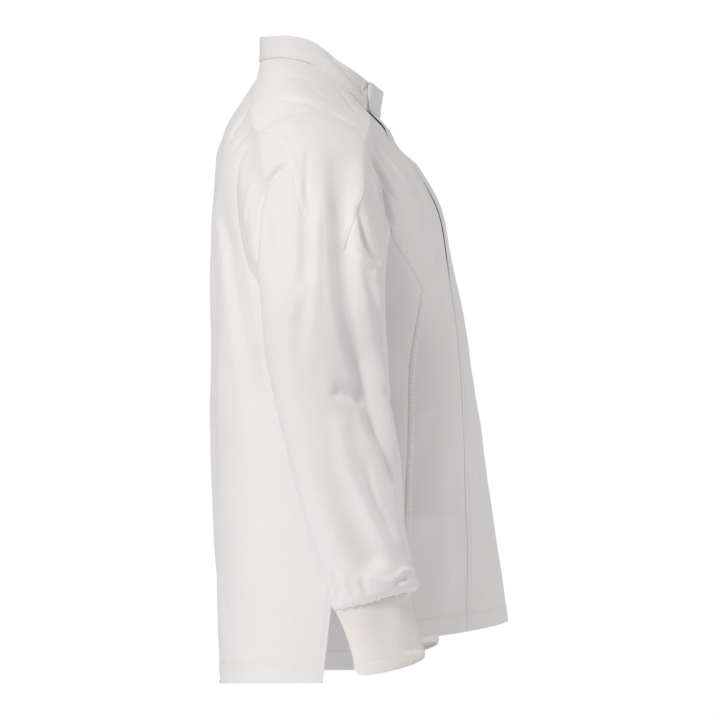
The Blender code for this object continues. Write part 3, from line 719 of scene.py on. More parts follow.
def spaced(curve, low, high, extra=(), **how):
    """Params from low to high, spaced by distance along a curve that takes them."""
    fine = np.linspace(low, high, 500)
    run = np.linalg.norm(np.diff(curve(fine), axis=0), axis=1).cumsum()
    run = np.concatenate([[0], run])
    wanted = np.unique(np.concatenate([marks(run[-1], **how), extra]))
    found = np.interp(wanted, run, fine)
    found[0], found[-1] = low, high
    return found


def chained(*parts):
    """Several rising runs of params as one, their shared ends counted once."""
    return np.concatenate([parts[0], *(part[1:] for part in parts[1:])])


def seam_curve(places):
    return lambda at: body(*places(at).T)


def around(distance, reach=0.0018):
    """Extra marks about a line of stitches."""
    return distance + np.array((-1, -0.5, -0.2, 0, 0.2, 0.5, 1)) * reach


HEM_DEPTH = {"back": 0.023, "front": 0.020}
OUTSIDE_STATION = 4.0  # of the sleeve and cuff, down the outside of the arm
RIBS = 92  # round a cuff
RIB_STEP = 0.0022  # between the points up a cuff or the collar
COLLAR_HEIGHT = 0.031
END_STEP = 0.0020  # near the cuffs, where the sleeve gathers


def front_armhole(row):
    """Angle and level of the armhole's front at rows of the body."""
    return through(ARMHOLE_FRONT, row - ARMPIT_ROW)


def back_edge(row):
    """Angle and level of the back's right edge."""
    return side_edge(row, BACK_HEM, 1, ARMHOLE_BACK)


armhole_rows = chained(
    spaced(seam_curve(front_armhole), ARMPIT_ROW, TIP_ROW),
    spaced(seam_curve(front_armhole), TIP_ROW, TOP_ROW, last=True),
)
upper_rows = chained(spaced(seam_curve(princess), SLIT_ROW, ARMPIT_ROW), armhole_rows)
front_rows, back_rows = (
    chained(spaced(seam_curve(edge), 0, SLIT_ROW, around(HEM_DEPTH[name]), first=True), upper_rows)
    for edge, name in ((princess, "front"), (back_edge, "back"))
)
side_rows_used = front_rows[front_rows <= TIP_ROW]
# Columns, spaced along typical arcs: half the back, a side panel, and a front's centre part.
yoke_across = spaced(lambda at: body(180 - at * 84, 0.45), 0, 1, first=True, last=True)
side_across = spaced(lambda at: body(45 + at * 35, 0.30), 0, 1, first=True, last=True)
centre_columns = spaced(lambda at: body(20 - at * 9, 0.30), 0, CENTRE_COLUMNS, first=True)
yoke_stations = chained(
    spaced(armhole, 0, NECK_STATIONS, first=True),
    spaced(armhole, NECK_STATIONS, YOKE_STATIONS, last=True),
)
first_front = YOKE_STATIONS + ARMHOLE_STEPS
sleeve_stations = chained(
    yoke_stations,
    YOKE_STATIONS + TOP_ROW - armhole_rows[::-1],
    first_front + armhole_rows - ARMPIT_ROW,
)
cap_end = TONGUE_ROWS + CAP_ROWS
sleeve_end = cap_end + len(SLEEVE) - 1
gather_row = sleeve_end - 4


def tongue_line(at):
    """The front edge of the yoke's part on the sleeve."""
    return sleeve(*through(TONGUE_EDGES[0], at).T)


def outer_line(at):
    """The line down the outside of the arm, below the yoke."""
    sections_down = np.maximum(at - cap_end, 0)
    cap_part = np.minimum(at - TONGUE_ROWS, CAP_ROWS) / CAP_ROWS
    return sleeve(OUTSIDE_STATION, sections_down + cap_part)


def cuff_line(at):
    """The line down the outside of a cuff."""
    return section_point(CUFF, np.full_like(at, OUTSIDE_STATION), at)


def collar_line(at):
    """A line up the collar."""
    return at[:, None] * (0, 0, COLLAR_HEIGHT)


sleeve_rows = chained(
    spaced(tongue_line, 0, TONGUE_ROWS, first=True, last=True),
    spaced(outer_line, TONGUE_ROWS, cap_end, first=True),
    spaced(outer_line, cap_end, gather_row),
    spaced(outer_line, gather_row, sleeve_end, step=END_STEP, last=True),
)
cuff_stations = np.linspace(0, STATIONS, RIBS * 6 + 1)
cuff_rows = spaced(cuff_line, 0, len(CUFF) - 1, step=RIB_STEP, first=True, last=True)
collar_rows = spaced(collar_line, 0, 1, step=RIB_STEP, first=True, last=True)


def grid_faces(grid, turned, keep=None):
    """A grid's points and faces as corners in grid order, leaving out cells not kept."""
    count = grid.shape[1]
    i, j = np.meshgrid(np.arange(grid.shape[0] - 1), np.arange(count - 1), indexing="ij")
    a = (i * count + j)[np.ones_like(i, bool) if keep is None else keep]
    faces = np.stack([a, a + 1, a + count + 1, a + count], axis=1)
    return grid.reshape(-1, 3), faces[:, ::-1] if turned else faces


def cloth_lengths(grid):
    """How far each point of a grid is along its row and its column, for the weave."""
    across = np.linalg.norm(np.diff(grid, axis=1), axis=2).mean(axis=0)
    up = np.linalg.norm(np.diff(grid, axis=0), axis=2).mean(axis=1)
    u = np.concatenate([[0], across.cumsum()])
    v = np.concatenate([[0], up.cumsum()])
    return np.stack(np.broadcast_arrays(u[None], v[:, None]), axis=-1).reshape(-1, 2)


def edge_x(z):
    """The x of the over front's edge at this height."""
    return overlap_x(np.ravel(z) - RING_BASE).reshape(np.shape(z))


def overlap_rise(points):
    """How far the over front and the collar's over end lie outside the form of the rest."""
    x, _, z = points
    over = 1 - smoothstep(UNDER_EDGE_X + 0.001, UNDER_EDGE_X + 0.018, x)
    chest = smoothstep(*CHEST_FROM, z) * (1 - smoothstep(*CHEST_TO, z))
    neck = smoothstep(*NECK_FROM, z)
    lift = CHEST_LIFT * chest + NECK_LIFT * neck - OVERLAP_CLOSE * (1 - chest) * (1 - neck)
    return OVERLAP_RISE * over + lift * (1 - smoothstep(0.0, OVERLAP_EDGE_REACH, x - edge_x(z)))


def moved_out(points, rise):
    """Points of a grid, moved straight out of its surface by the given rise."""
    normal = unit(np.cross(np.gradient(points, axis=0), np.gradient(points, axis=1)))
    return points + normal * rise[..., None]


def make_surfaces():
    """Each piece's points, faces with the outside up, and lengths along the cloth."""
    over_front = front_grid(True, front_rows, centre_columns, yoke_across)
    over_front = moved_out(over_front, -overlap_rise(over_front.T).T)
    over_top = over_front[-1][: len(centre_columns)]
    arm = sleeve_grid(sleeve_rows, sleeve_stations)
    ends = np.searchsorted(sleeve_rows, TONGUE_ROWS), np.searchsorted(sleeve_stations, YOKE_STATIONS)
    outside = np.ones((arm.shape[0] - 1, arm.shape[1] - 1), bool)
    outside[: ends[0], : ends[1]] = False
    side = side_panel_grid(side_rows_used, side_across)
    shoulder = shoulder_grid(yoke_stations, yoke_across)
    cuff = cuff_grid(cuff_rows, cuff_stations)
    found = {
        "back": [(back_grid(back_rows, yoke_across), True, None)],
        "front_right": [(front_grid(False, front_rows, centre_columns, yoke_across), True, None)],
        "front_left": [(over_front, False, None)],
        "collar": [(collar_grid(collar_rows, centre_columns, yoke_stations, over_top), True, None)],
    }
    both = {
        "side_panel": [(side, True, None)],
        "yoke": [(shoulder, True, None), (arm, False, ~outside)],
        "sleeve": [(arm, False, outside)],
        "cuff": [(cuff, False, None)],
    }
    for name, grids in both.items():
        found[name + "_right"] = grids
        found[name + "_left"] = [(grid * (-1, 1, 1), not turned, keep) for grid, turned, keep in grids]
    return found


# ---------------------------------------------------------------- the cloth as one surface

WELD = 0.00002  # points nearer than this are one
CUFF_SEAM_REACH = 0.025  # height range of the slanted seam between sleeve and cuff, either way


class Cloth:
    """All the pieces' points with those that meet made one, and each piece's own faces."""

    def __init__(self, surfaces):
        points, faces, lengths, start = [], {}, {}, 0
        for name, grids in surfaces.items():
            own_faces, own_lengths, first = [], [], start
            for grid, turned, keep in grids:
                own_points, grid_quads = grid_faces(grid, turned, keep)
                points.append(own_points)
                own_faces.append(grid_quads + start)
                own_lengths.append(cloth_lengths(grid))
                start += len(own_points)
            faces[name] = np.concatenate(own_faces)
            lengths[name] = (first, np.concatenate(own_lengths))
        points = np.concatenate(points)
        _, keep_at, index = np.unique(
            np.round(points / WELD).astype(np.int64), axis=0, return_index=True, return_inverse=True
        )
        index = index.reshape(-1)
        self.points = points[keep_at]
        self.faces, self.lengths, self.own = {}, {}, {}
        for name, quads in faces.items():
            used = np.unique(quads)
            self.faces[name] = index[quads]
            first, own_lengths = lengths[name]
            self.lengths[name] = np.zeros((len(self.points), 2))
            self.lengths[name][index[used]] = own_lengths[used - first]
            self.own[name] = np.unique(self.faces[name])
        self.normals = self.shared_normals()

    def shared_normals(self):
        normals = np.zeros_like(self.points)
        for quads in self.faces.values():
            a, b, c, d = (self.points[quads[:, k]] for k in range(4))
            facing = unit(np.cross(c - a, d - b))
            for k in range(4):
                np.add.at(normals, quads[:, k], facing)
        return unit(normals)

    def rims(self, name):
        """The piece's rim edges by neighbour, or "free", each as pairs of points in order."""
        quads = self.faces[name]
        ends = np.concatenate([quads[:, [k, (k + 1) % 4]] for k in range(4)])
        ends = ends[ends[:, 0] != ends[:, 1]]
        size = len(self.points)
        codes, back = ends[:, 0] * size + ends[:, 1], ends[:, 1] * size + ends[:, 0]
        rim = ends[~np.isin(codes, back)]
        labels = np.full(len(rim), "free", dtype="U20")
        for other, own in self.own.items():
            if other != name:
                labels[np.isin(rim, own).all(axis=1)] = other
        # A sleeve's end and its cuff have their own columns, so they share no points.
        height = self.points[rim[:, 0], 2] - CUFF[0][0]
        ends_here = (labels == "free") & (np.abs(height) < CUFF_SEAM_REACH)
        for mine, other in (("sleeve", "cuff"), ("cuff", "sleeve")):
            if name.startswith(mine):
                labels[ends_here] = name.replace(mine, other)
        return {str(label): rim[labels == label] for label in np.unique(labels)}


def distance_to(points, edges, at, limit):
    """How far points are from the nearest of some edges, up to a limit."""
    far = np.full(len(points), float(limit))
    starts, ends = at[edges[:, 0]], at[edges[:, 1]]
    box = np.concatenate([starts, ends])
    near = ((points > box.min(axis=0) - limit) & (points < box.max(axis=0) + limit)).all(axis=1)
    tree = KDTree(len(edges))
    for k, middle in enumerate((starts + ends) / 2):
        tree.insert(middle, k)
    tree.balance()
    lines = ends - starts
    squares = (lines**2).sum(axis=1)
    longest = squares.max() ** 0.5
    for i in np.flatnonzero(near):
        point = points[i]
        found = tree.find_n(point, 2)
        if found[0][2] > limit + longest:
            continue
        for _, k, _ in found:
            gap = point - starts[k]
            part = min(max((gap @ lines[k]) / squares[k], 0.0), 1.0)
            gap = gap - lines[k] * part
            far[i] = min(far[i], (gap @ gap) ** 0.5)
    return far


# ---------------------------------------------------------------- folds

ARM = ("sleeve", "yoke")
TRUNK = ("back", "front", "side_panel", "yoke")
BAND = ("collar",)
CUFFS = ("cuff",)
BACK = ("back",)
ROUND = 0.12  # how round the bottom of a fold with straight sides is
# The far side's folds are varied copies of the near side's: the ranges of the factors of
# their width and depth, and how far they are shifted at most, except those at the cuff.
VARIED = ((0.85, 0.7), (1.2, 1.1))
SHIFT = 6
CUFF_DEPTH = 600


class Fold(NamedTuple):
    """One fold of the cloth, in millimetres."""

    names: tuple  # the kinds of the pieces that it lies on
    width: float  # half width
    depth: float  # a ridge if it is over 0, a trough below
    spots: list  # points on its line, as one side or the front or back shows them
    skew: float = 0.0  # how much steeper its right side is, going down, the outside up
    ends: tuple = (0.3, 0.3)  # the shares of its length that fade in and out
    sharp: float = 0.0  # 1 for a sharp bottom, -1 for straight sides and a round bottom


# The folds that a side shows, with the y and z of points on each line.
SIDE_FOLDS = [
    # the sleeve's long trough: from the yoke's point past the elbow to the cuff
    Fold(ARM, 21, -9.5, [
        (-46, -120), (-49, -150), (-51, -180), (-53, -212), (-55, -252), (-59, -286), (-64, -311),
        (-70, -335), (-78, -360), (-84, -384), (-91, -410), (-99, -431), (-107, -451), (-114, -472),
        (-120, -494), (-123, -525), (-125, -557)
    ], ends=(0.2, 0.1), sharp=-0.6),
    Fold(ARM, 36, -11.0, [
        (-66, -291), (-76, -330), (-83, -360), (-88, -384), (-94, -410), (-101, -431), (-108, -455)
    ], skew=-0.35, ends=(0.4, 0.4), sharp=-0.8),
    Fold(ARM, 20, -6.5, [
        (-90, -404), (-98, -428), (-106, -451), (-114, -475), (-119, -501)
    ], skew=-0.35, sharp=-0.6),
    # the crease at the elbow, and the ridges below and ahead of it
    Fold(ARM, 15, -6.5, [
        (-38, -387), (-48, -389), (-58, -391), (-70, -396), (-84, -404)
    ], skew=0.55, ends=(0.12, 0.3), sharp=0.4),
    Fold(ARM, 17, 4.0, [
        (-46, -403), (-50, -418), (-54, -446), (-60, -483), (-71, -511), (-87, -540), (-102, -566),
        (-111, -590)
    ], ends=(0.15, 0.25)),
    Fold(ARM, 11, 1.0, [
        (-62, -243), (-69, -277), (-76, -306), (-83, -335), (-90, -365), (-96, -394), (-102, -423)
    ]),
    Fold(ARM, 8, -3.2, [(-75, -452), (-82, -483), (-90, -511), (-105, -540), (-114, -563)], sharp=0.2),
    # the low trough towards the cuff
    Fold(ARM, 24, -9.0, [
        (-39, -457), (-46, -486), (-57, -511), (-71, -540), (-83, -568), (-98, -594)
    ], skew=-0.25, ends=(0.4, 0.15), sharp=-0.4),
    # on the yoke's point
    Fold(ARM, 7, -1.7, [(-10, -98), (-9, -125), (-8, -150), (-9, -172)]),
    Fold(ARM, 24, -6.0, [(-46, -100), (-48, -135), (-50, -170), (-52, -205)], skew=0.1, sharp=-0.6),
    # behind the long trough
    Fold(ARM, 15, -2.6, [
        (-11, -134), (-10, -165), (-9, -221), (-8, -257), (-5, -297), (-1, -345), (0, -389)
    ], skew=0.2, ends=(0.15, 0.35)),
    Fold(ARM, 10, 1.6, [
        (-21, -155), (-22, -204), (-22, -252), (-20, -301), (-19, -345)
    ], ends=(0.2, 0.4)),
    # in front of the yoke's point, towards the armpit
    Fold(ARM, 10, -7.0, [
        (-70, -165), (-75, -194), (-79, -213), (-87, -228), (-95, -239)
    ], skew=-0.1, ends=(0.2, 0.2), sharp=0.2),
    Fold(ARM, 7, 2.4, [
        (-62, -204), (-68, -225), (-77, -237), (-86, -248), (-92, -264)
    ], ends=(0.25, 0.25)),
    Fold(ARM, 12, -4.0, [
        (-72, -229), (-79, -249), (-87, -272), (-93, -301), (-98, -339), (-104, -379)
    ], skew=-0.2),
    # the sleeve's cap, behind the point of the yoke
    Fold(ARM, 9, -8.0, [
        (12, -118), (22, -126), (33, -135), (44, -155), (51, -182), (53, -207), (52, -228), (48, -248)
    ], skew=0.35, ends=(0.12, 0.25), sharp=0.5),
    Fold(ARM, 10, 2.4, [(36, -157), (40, -176), (42, -204), (40, -238)]),
    Fold(ARM, 6, 1.8, [(49, -134), (58, -153), (63, -176), (63, -204)]),
    Fold(ARM, 5, -1.6, [(69, -184), (65, -209), (58, -231), (54, -251)], sharp=0.2),
    # the end of the sleeve, gathered into the cuff
    Fold(ARM, 8, 3.4, [
        (-76, -598), (-84, -600), (-94, -603), (-105, -603), (-113, -600)
    ], ends=(0.15, 0.15)),
    Fold(ARM, 5, -3.4, [(-79, -617), (-76, -609), (-73, -598)], ends=(0.1, 0.3), sharp=0.3),
    Fold(ARM, 5, -3.2, [
        (-48, -623), (-45, -611), (-42, -600), (-40, -590)
    ], ends=(0.05, 0.3), sharp=0.3),
    Fold(ARM, 6, 3.0, [(-42, -623), (-38, -607), (-35, -592)], ends=(0.1, 0.3)),
    Fold(ARM, 6, 2.0, [(-59, -619), (-55, -607), (-52, -594)], ends=(0.1, 0.3)),
    Fold(ARM, 5, 3.4, [(-111, -600), (-118, -593), (-125, -590), (-131, -594)], ends=(0.2, 0.2)),
    Fold(ARM, 4, -2.6, [(-112, -607), (-119, -602), (-127, -600)], ends=(0.2, 0.2), sharp=0.3),
    # the yoke
    Fold(TRUNK, 7, -2.0, [(30, -46), (5, -49), (-10, -53), (-22, -63)], ends=(0.25, 0.3), sharp=0.1),
    Fold(TRUNK, 8, -1.1, [(31, -22), (11, -19), (-15, -23)]),
    Fold(TRUNK, 7, -1.8, [(-1, -29), (-15, -37), (-29, -46)], sharp=0.1),
    Fold(TRUNK, 7, -2.2, [(-22, -57), (-41, -65), (-64, -80)], sharp=0.1),
    Fold(TRUNK, 7, -1.8, [(-34, -28), (-49, -45), (-68, -66)]),
    Fold(TRUNK, 5, -0.5, [(33, -72), (2, -74), (-28, -72)], ends=(0.2, 0.2), sharp=0.3),
    Fold(ARM, 4, -0.4, [(-9, -163), (-26, -160), (-61, -161)], ends=(0.15, 0.15), sharp=0.3),
    # the back
    Fold(TRUNK, 26, -6.0, [
        (102, -163), (98, -181), (91, -210), (81, -268), (72, -326), (63, -373), (55, -419),
        (47, -477)
    ], skew=0.3, ends=(0.15, 0.3), sharp=0.1),
    Fold(TRUNK, 20, 3.0, [(66, -200), (52, -262), (42, -330), (32, -400)]),
    Fold(TRUNK, 13, -3.0, [(64, -52), (80, -72), (97, -104)], skew=0.2),
    Fold(TRUNK, 9, -2.4, [(57, -79), (76, -93), (85, -111)], skew=0.2, sharp=0.1),
    # the front
    Fold(TRUNK, 12, 6.0, [
        (-80, -97), (-98, -119), (-112, -136), (-129, -153)
    ], skew=-0.2, ends=(0.2, 0.3)),
    Fold(TRUNK, 9, -6.5, [
        (-76, -106), (-86, -126), (-100, -148), (-116, -168)
    ], ends=(0.2, 0.3), sharp=0.1),
    Fold(TRUNK, 8, 5.0, [(-74, -112), (-82, -136), (-91, -160), (-98, -184)], ends=(0.2, 0.3)),
    Fold(TRUNK, 9, -5.5, [(-80, -124), (-92, -150), (-100, -179), (-104, -200)], ends=(0.2, 0.3)),
    Fold(TRUNK, 12, -1.6, [(-158, -215), (-151, -235), (-143, -262)]),
    Fold(TRUNK, 16, 1.0, [(-124, -412), (-137, -410), (-153, -402)]),
    # the over front's strip past the edge, and the under front beside it
    Fold(TRUNK, 7, -0.8, [(-196, -448), (-199, -500), (-205, -560), (-210, -620)]),
    Fold(TRUNK, 9, 0.9, [(-182, -420), (-188, -480), (-196, -540)]),
    # the collar
    Fold(BAND, 13, -6.5, [
        (-14, 17), (-28, 5), (-42, -9), (-56, -25), (-73, -42)
    ], skew=0.6, ends=(0.3, 0.12), sharp=-0.5),
    Fold(BAND, 5, 3.0, [
        (-8, 20), (-22, 9), (-36, -6), (-50, -24), (-64, -42), (-74, -52)
    ], ends=(0.1, 0.2), sharp=0.6),
    Fold(BAND, 6, -1.2, [(5, 17), (-7, 10), (-18, 2)], ends=(0.1, 0.3)),
    # the cuff: fuller behind, hollow in front, and rolled at its lower edge
    Fold(CUFFS, 26, 2.5, [(-70, -625), (-79, -657), (-83, -693)], ends=(0.2, 0.05)),
    Fold(CUFFS, 26, -6.0, [(-125, -615), (-131, -647), (-137, -686)], ends=(0.2, 0.05), sharp=-0.3),
]

# The folds that the back shows, with the x and z of points on each line.
BACK_FOLDS = [
    Fold(BACK, 130, -4.0, [(0, -110), (0, -200), (0, -300), (0, -390)]),
    Fold(BACK, 150, -2.4, [(0, -560), (0, -640), (0, -728)], ends=(0.3, 0.0)),
    Fold(TRUNK, 30, -2.6, [(-122, -150), (-112, -260), (-98, -400), (-90, -560)], skew=0.1),
    Fold(TRUNK, 28, -2.2, [(128, -170), (112, -290), (104, -420), (99, -530)], skew=-0.1),
    Fold(TRUNK, 34, -1.9, [(-36, -220), (-28, -370), (-31, -530), (-39, -660)], skew=0.1),
    Fold(TRUNK, 26, -2.0, [(46, -260), (53, -400), (42, -580)]),
    Fold(TRUNK, 20, 1.4, [(4, -330), (10, -460), (3, -600)]),
    Fold(TRUNK, 16, -1.4, [(-172, -205), (-140, -232), (-104, -290)]),
    Fold(TRUNK, 15, -1.5, [(168, -190), (142, -226), (118, -300)]),
    Fold(TRUNK, 16, -1.2, [(-74, -72), (-22, -86), (38, -83), (86, -68)]),
    Fold(TRUNK, 14, 0.9, [(-60, -100), (-8, -112), (52, -106)]),
    Fold(ARM, 13, -2.2, [(-236, -190), (-246, -262), (-252, -335)], skew=0.1),
    Fold(ARM, 12, -1.9, [(238, -205), (249, -280), (250, -350)], skew=-0.1),
    Fold(ARM, 10, -2.0, [
        (-276, -372), (-256, -392), (-234, -397)
    ], skew=0.2, ends=(0.2, 0.3), sharp=0.1),
    Fold(ARM, 10, -1.8, [(278, -384), (254, -400), (236, -403)], skew=0.2, ends=(0.2, 0.3), sharp=0.1),
    Fold(ARM, 12, -1.9, [(-240, -450), (-250, -520), (-261, -590)]),
    Fold(ARM, 12, -2.1, [(243, -462), (256, -530), (258, -596)]),
]

# The folds that the front shows, with the x and z of points on each line.
FRONT_FOLDS = [
    Fold(TRUNK, 30, -6.0, [(-85, -92), (-40, -96), (0, -97), (40, -96), (85, -92)]),
    Fold(TRUNK, 40, -2.6, [(-70, -40), (-30, -44), (0, -46), (30, -44), (70, -40)]),
    Fold(TRUNK, 26, -2.2, [(-112, -120), (-98, -210), (-88, -320)], skew=0.1),
    Fold(TRUNK, 24, -2.0, [(108, -130), (101, -230), (86, -350)], skew=-0.1),
    Fold(TRUNK, 30, -2.3, [(-128, -430), (-118, -540), (-124, -670)], ends=(0.3, 0.2)),
    Fold(TRUNK, 30, -2.1, [(116, -410), (125, -540), (118, -670)], ends=(0.3, 0.2)),
    Fold(TRUNK, 24, 1.5, [(62, -470), (70, -560), (66, -660)], ends=(0.3, 0.2)),
    Fold(TRUNK, 13, -1.6, [(-158, -128), (-126, -166), (-86, -196)]),
    Fold(TRUNK, 13, -1.5, [(160, -134), (130, -172), (92, -208)]),
    Fold(TRUNK, 12, 1.0, [(-92, -80), (-70, -112), (-52, -160)]),
    Fold(TRUNK, 12, 1.0, [(96, -82), (74, -118), (60, -168)]),
    Fold(ARM, 12, -2.2, [(238, -210), (250, -300), (262, -380)], skew=0.1),
    Fold(ARM, 12, -2.4, [(276, -372), (256, -396), (238, -402)], skew=0.1, ends=(0.2, 0.3)),
    Fold(ARM, 12, -2.0, [(-236, -240), (-246, -310), (-240, -370)]),
    Fold(ARM, 11, -2.2, [(-274, -380), (-252, -400), (-236, -404)], ends=(0.2, 0.3)),
]


def fold_line(spots, facing, cloth, names):
    """The points on the cloth that a fold's spots lie over, seen from one side, and the
    cloth's normals there."""
    facing = np.array(facing, float)
    axes = np.flatnonzero(facing == 0)
    own = np.unique(np.concatenate([cloth.own[name] for name in names]))
    own = own[cloth.normals[own] @ facing > 0.05]
    flat = cloth.points[own][:, axes]
    wanted = through(np.array(spots, float) / 1000, np.linspace(0, len(spots) - 1, 4 * len(spots)))
    gap = ((flat[None] - wanted[:, None]) ** 2).sum(axis=2)
    near = np.argpartition(gap, 4, axis=1)[:, :4]
    weight = 1 / (np.take_along_axis(gap, near, axis=1) + 1e-8)
    weight = (weight / weight.sum(axis=1, keepdims=True))[..., None]
    line = (cloth.points[own[near]] * weight).sum(axis=1)
    up = unit((cloth.normals[own[near]] * weight).sum(axis=1))
    for _ in range(2):
        line[1:-1] = (line[:-2] + 2 * line[1:-1] + line[2:]) / 4
    return line, up


def fold_shape(t, sharp):
    """The height of a fold of height 1 across its half width, where t goes from 0 to 1."""
    soft = (np.cos(np.pi * t) + 1) / 2
    if sharp > 0:
        other = (1 - t) ** 2
    else:
        low, high = ROUND ** (1 / 3), (1 + ROUND) ** (1 / 3)
        other = 1 - ((t**3 + ROUND) ** (1 / 3) - low) / (high - low)
    return soft * (1 - abs(sharp)) + other * abs(sharp)


def fold_rise(cloth, line, line_up, width, depth, skew, ends, sharp):
    """What a fold adds at the cloth's points: a soft ridge, or a trough below 0."""
    rise = np.zeros(len(cloth.points))
    reach = width * (1 + abs(skew))
    box = (cloth.points > line.min(axis=0) - reach) & (cloth.points < line.max(axis=0) + reach)
    near = np.flatnonzero(box.all(axis=1))
    spot, up = cloth.points[near], cloth.normals[near]
    start, along = line[:-1], np.diff(line, axis=0)
    length = np.linalg.norm(along, axis=1)
    run = np.concatenate([[0], length.cumsum()])
    part = ((spot[:, None] - start[None]) * along[None]).sum(axis=2) / length**2
    part = np.clip(part, 0, 1)
    gap = spot[:, None] - start[None] - along[None] * part[..., None]
    best = (gap**2).sum(axis=2).argmin(axis=1)
    row = np.arange(len(near))
    gap, part = gap[row, best], part[row, best]
    away = np.linalg.norm(gap, axis=1)
    sideways = (np.cross(along[best] / length[best, None], up) * gap).sum(axis=1) / (away + 1e-9)
    wide = width * (1 - skew * np.clip(sideways * 1.5, -1, 1))
    shape = fold_shape(np.clip(away / wide, 0, 1), sharp)
    place = (run[best] + part * length[best]) / run[-1]
    fade_in, fade_out = np.maximum(ends, 1e-3)
    fade = smoothstep(0, fade_in, place) * smoothstep(0, fade_out, 1 - place)
    facing = smoothstep(-0.1, 0.4, (up * line_up[best]).sum(axis=1))
    rise[near] = depth * shape * fade * facing
    return rise


def sided(names, side):
    """The pieces of these kinds on one side: -1 is the wearer's right."""
    ending = "_right" if side < 0 else "_left"
    return [name if name in ("back", "collar") else name + ending for name in names]


def all_folds(cloth):
    """The sum of all folds at the cloth's points."""
    random = np.random.default_rng(7)
    total = np.zeros(len(cloth.points))
    for side in (-1, 1):
        for fold in SIDE_FOLDS:
            spots, vary = np.array(fold.spots, float), (1, 1)
            if side > 0:
                vary = random.uniform(*VARIED)
                is_above_cuff = np.abs(spots[:, 1]).max() < CUFF_DEPTH
                spots = spots + random.uniform(-SHIFT, SHIFT, 2) * is_above_cuff
            line, up = fold_line(spots, (side, 0, 0), cloth, sided(fold.names, side))
            width, depth = fold.width / 1000 * vary[0], fold.depth / 1000 * vary[1]
            skew = -fold.skew * side
            total += fold_rise(cloth, line, up, width, depth, skew, fold.ends, fold.sharp)
    for table, facing in ((BACK_FOLDS, (0, 1, 0)), (FRONT_FOLDS, (0, -1, 0))):
        for fold in table:
            if fold.names is TRUNK:
                group = sided(TRUNK, -1) + sided(TRUNK[1:], 1)
            else:
                group = sided(fold.names, np.sign(fold.spots[0][0]))
            line, up = fold_line(fold.spots, facing, cloth, group)
            width, depth = fold.width / 1000, fold.depth / 1000
            total += fold_rise(cloth, line, up, width, depth, fold.skew, fold.ends, fold.sharp)
    return total


WAVES = [
    # length, height
    (0.150, 0.0007),
    (0.110, 0.0005),
    (0.080, 0.0004),
    (0.055, 0.00025),
    (0.036, 0.00015),
]


def undulation(points):
    """A low, broad unevenness that all cloth has."""
    random = np.random.default_rng(11)
    total = np.zeros(len(points))
    for wave, height in WAVES:
        for _ in range(4):
            way = random.normal(size=3) * (1.3, 1.3, 0.6)
            way = way / np.linalg.norm(way)
            bend = random.normal(size=3)
            bend = bend / np.linalg.norm(bend)
            phase = random.uniform(0, 2 * np.pi, 2)
            sway = np.sin(points @ bend * 2 * np.pi / (wave * 2.3) + phase[0])
            turn = points @ way * 2 * np.pi / wave + 1.5 * sway
            total += height / 2 * np.sin(turn + phase[1])
    return total


# ---------------------------------------------------------------- seams, hems and shells

MM = 0.001
CLOTH = 0.0010  # thickness of the woven cloth with its nap
RIB = 0.0022  # the cuffs are double
COLLAR_MORE = 0.6 * MM  # what the collar is thicker than the cloth
HEM_MORE = 0.9 * MM  # what a folded hem adds
EDGE_MORE = 0.6 * MM  # what a turned edge adds
NO_SEAM = 0.02  # distance to a seam where there is none near
HEMS_BELOW = -0.64  # height; free rims above it are slits and front edges
# Which piece lies on top where two are sewn: the higher one, with the stitches on it.
SEAM_RANK = {"collar": 6, "yoke": 5, "sleeve": 4, "front": 3, "back": 2, "side_panel": 1, "cuff": 0}
OVER = {"front_left": "front_right", "front_right": "front_left"}  # these only overlap


def kind(name):
    """The name of a piece without its side."""
    return name.removesuffix("_right").removesuffix("_left")


def is_sewn(name, label):
    """Whether a piece's rim with this label is sewn: not free, nor only overlapping."""
    return label not in ("free", OVER.get(name))


def joined(groups):
    """Several lists of rim edges as one."""
    return np.concatenate([edges for edges in groups if len(edges)] or [np.zeros((0, 2), int)])


def is_hem(points, edges):
    """Which rim edges run along a hem, and not up a slit or a front edge."""
    way = unit(points[edges[:, 1]] - points[edges[:, 0]])
    return (np.abs(way[:, 2]) < 0.5) & (points[edges[:, 0], 2] < HEMS_BELOW)


def seam_profile(far, is_top):
    """The rise beside a seam: a flat welt on the top piece, and a dip of the one below."""
    if is_top:
        welt = smoothstep(0, 1.1 * MM, far) * (1 - smoothstep(5.5 * MM, 8.5 * MM, far))
        stitch = np.exp(-(((far - 2.2 * MM) / (0.6 * MM)) ** 2))
        return 0.50 * MM * welt - 0.22 * MM * stitch
    return -0.40 * MM * (1 - smoothstep(0, 3.5 * MM, far))


def sleeve_drop(points, far):
    """How the end of a sleeve falls over its cuff: soft, uneven, and gathered in small folds."""
    turn = np.arctan2(points[:, 1] + 0.086, np.abs(points[:, 0]) - 0.247)
    side = np.where(points[:, 0] < 0, 0.0, 1.7)
    uneven = 1 + 0.22 * np.sin(3 * turn + 0.6 + side) + 0.18 * np.sin(5 * turn + 2.1 + 2 * side)
    fall = smoothstep(0, 3.5 * MM, far) * (1 - smoothstep(7 * MM, 24 * MM, far))
    small = np.sin(19 * turn + 2.0 * np.sin(2 * turn + side) + side) + 0.7 * np.sin(31 * turn + 1.3)
    pucker = small * np.exp(-((far - 2.5 * MM) / (7 * MM)) ** 2)
    return 1.8 * MM * uneven * fall, 0.60 * MM * pucker * smoothstep(0, 2 * MM, far)


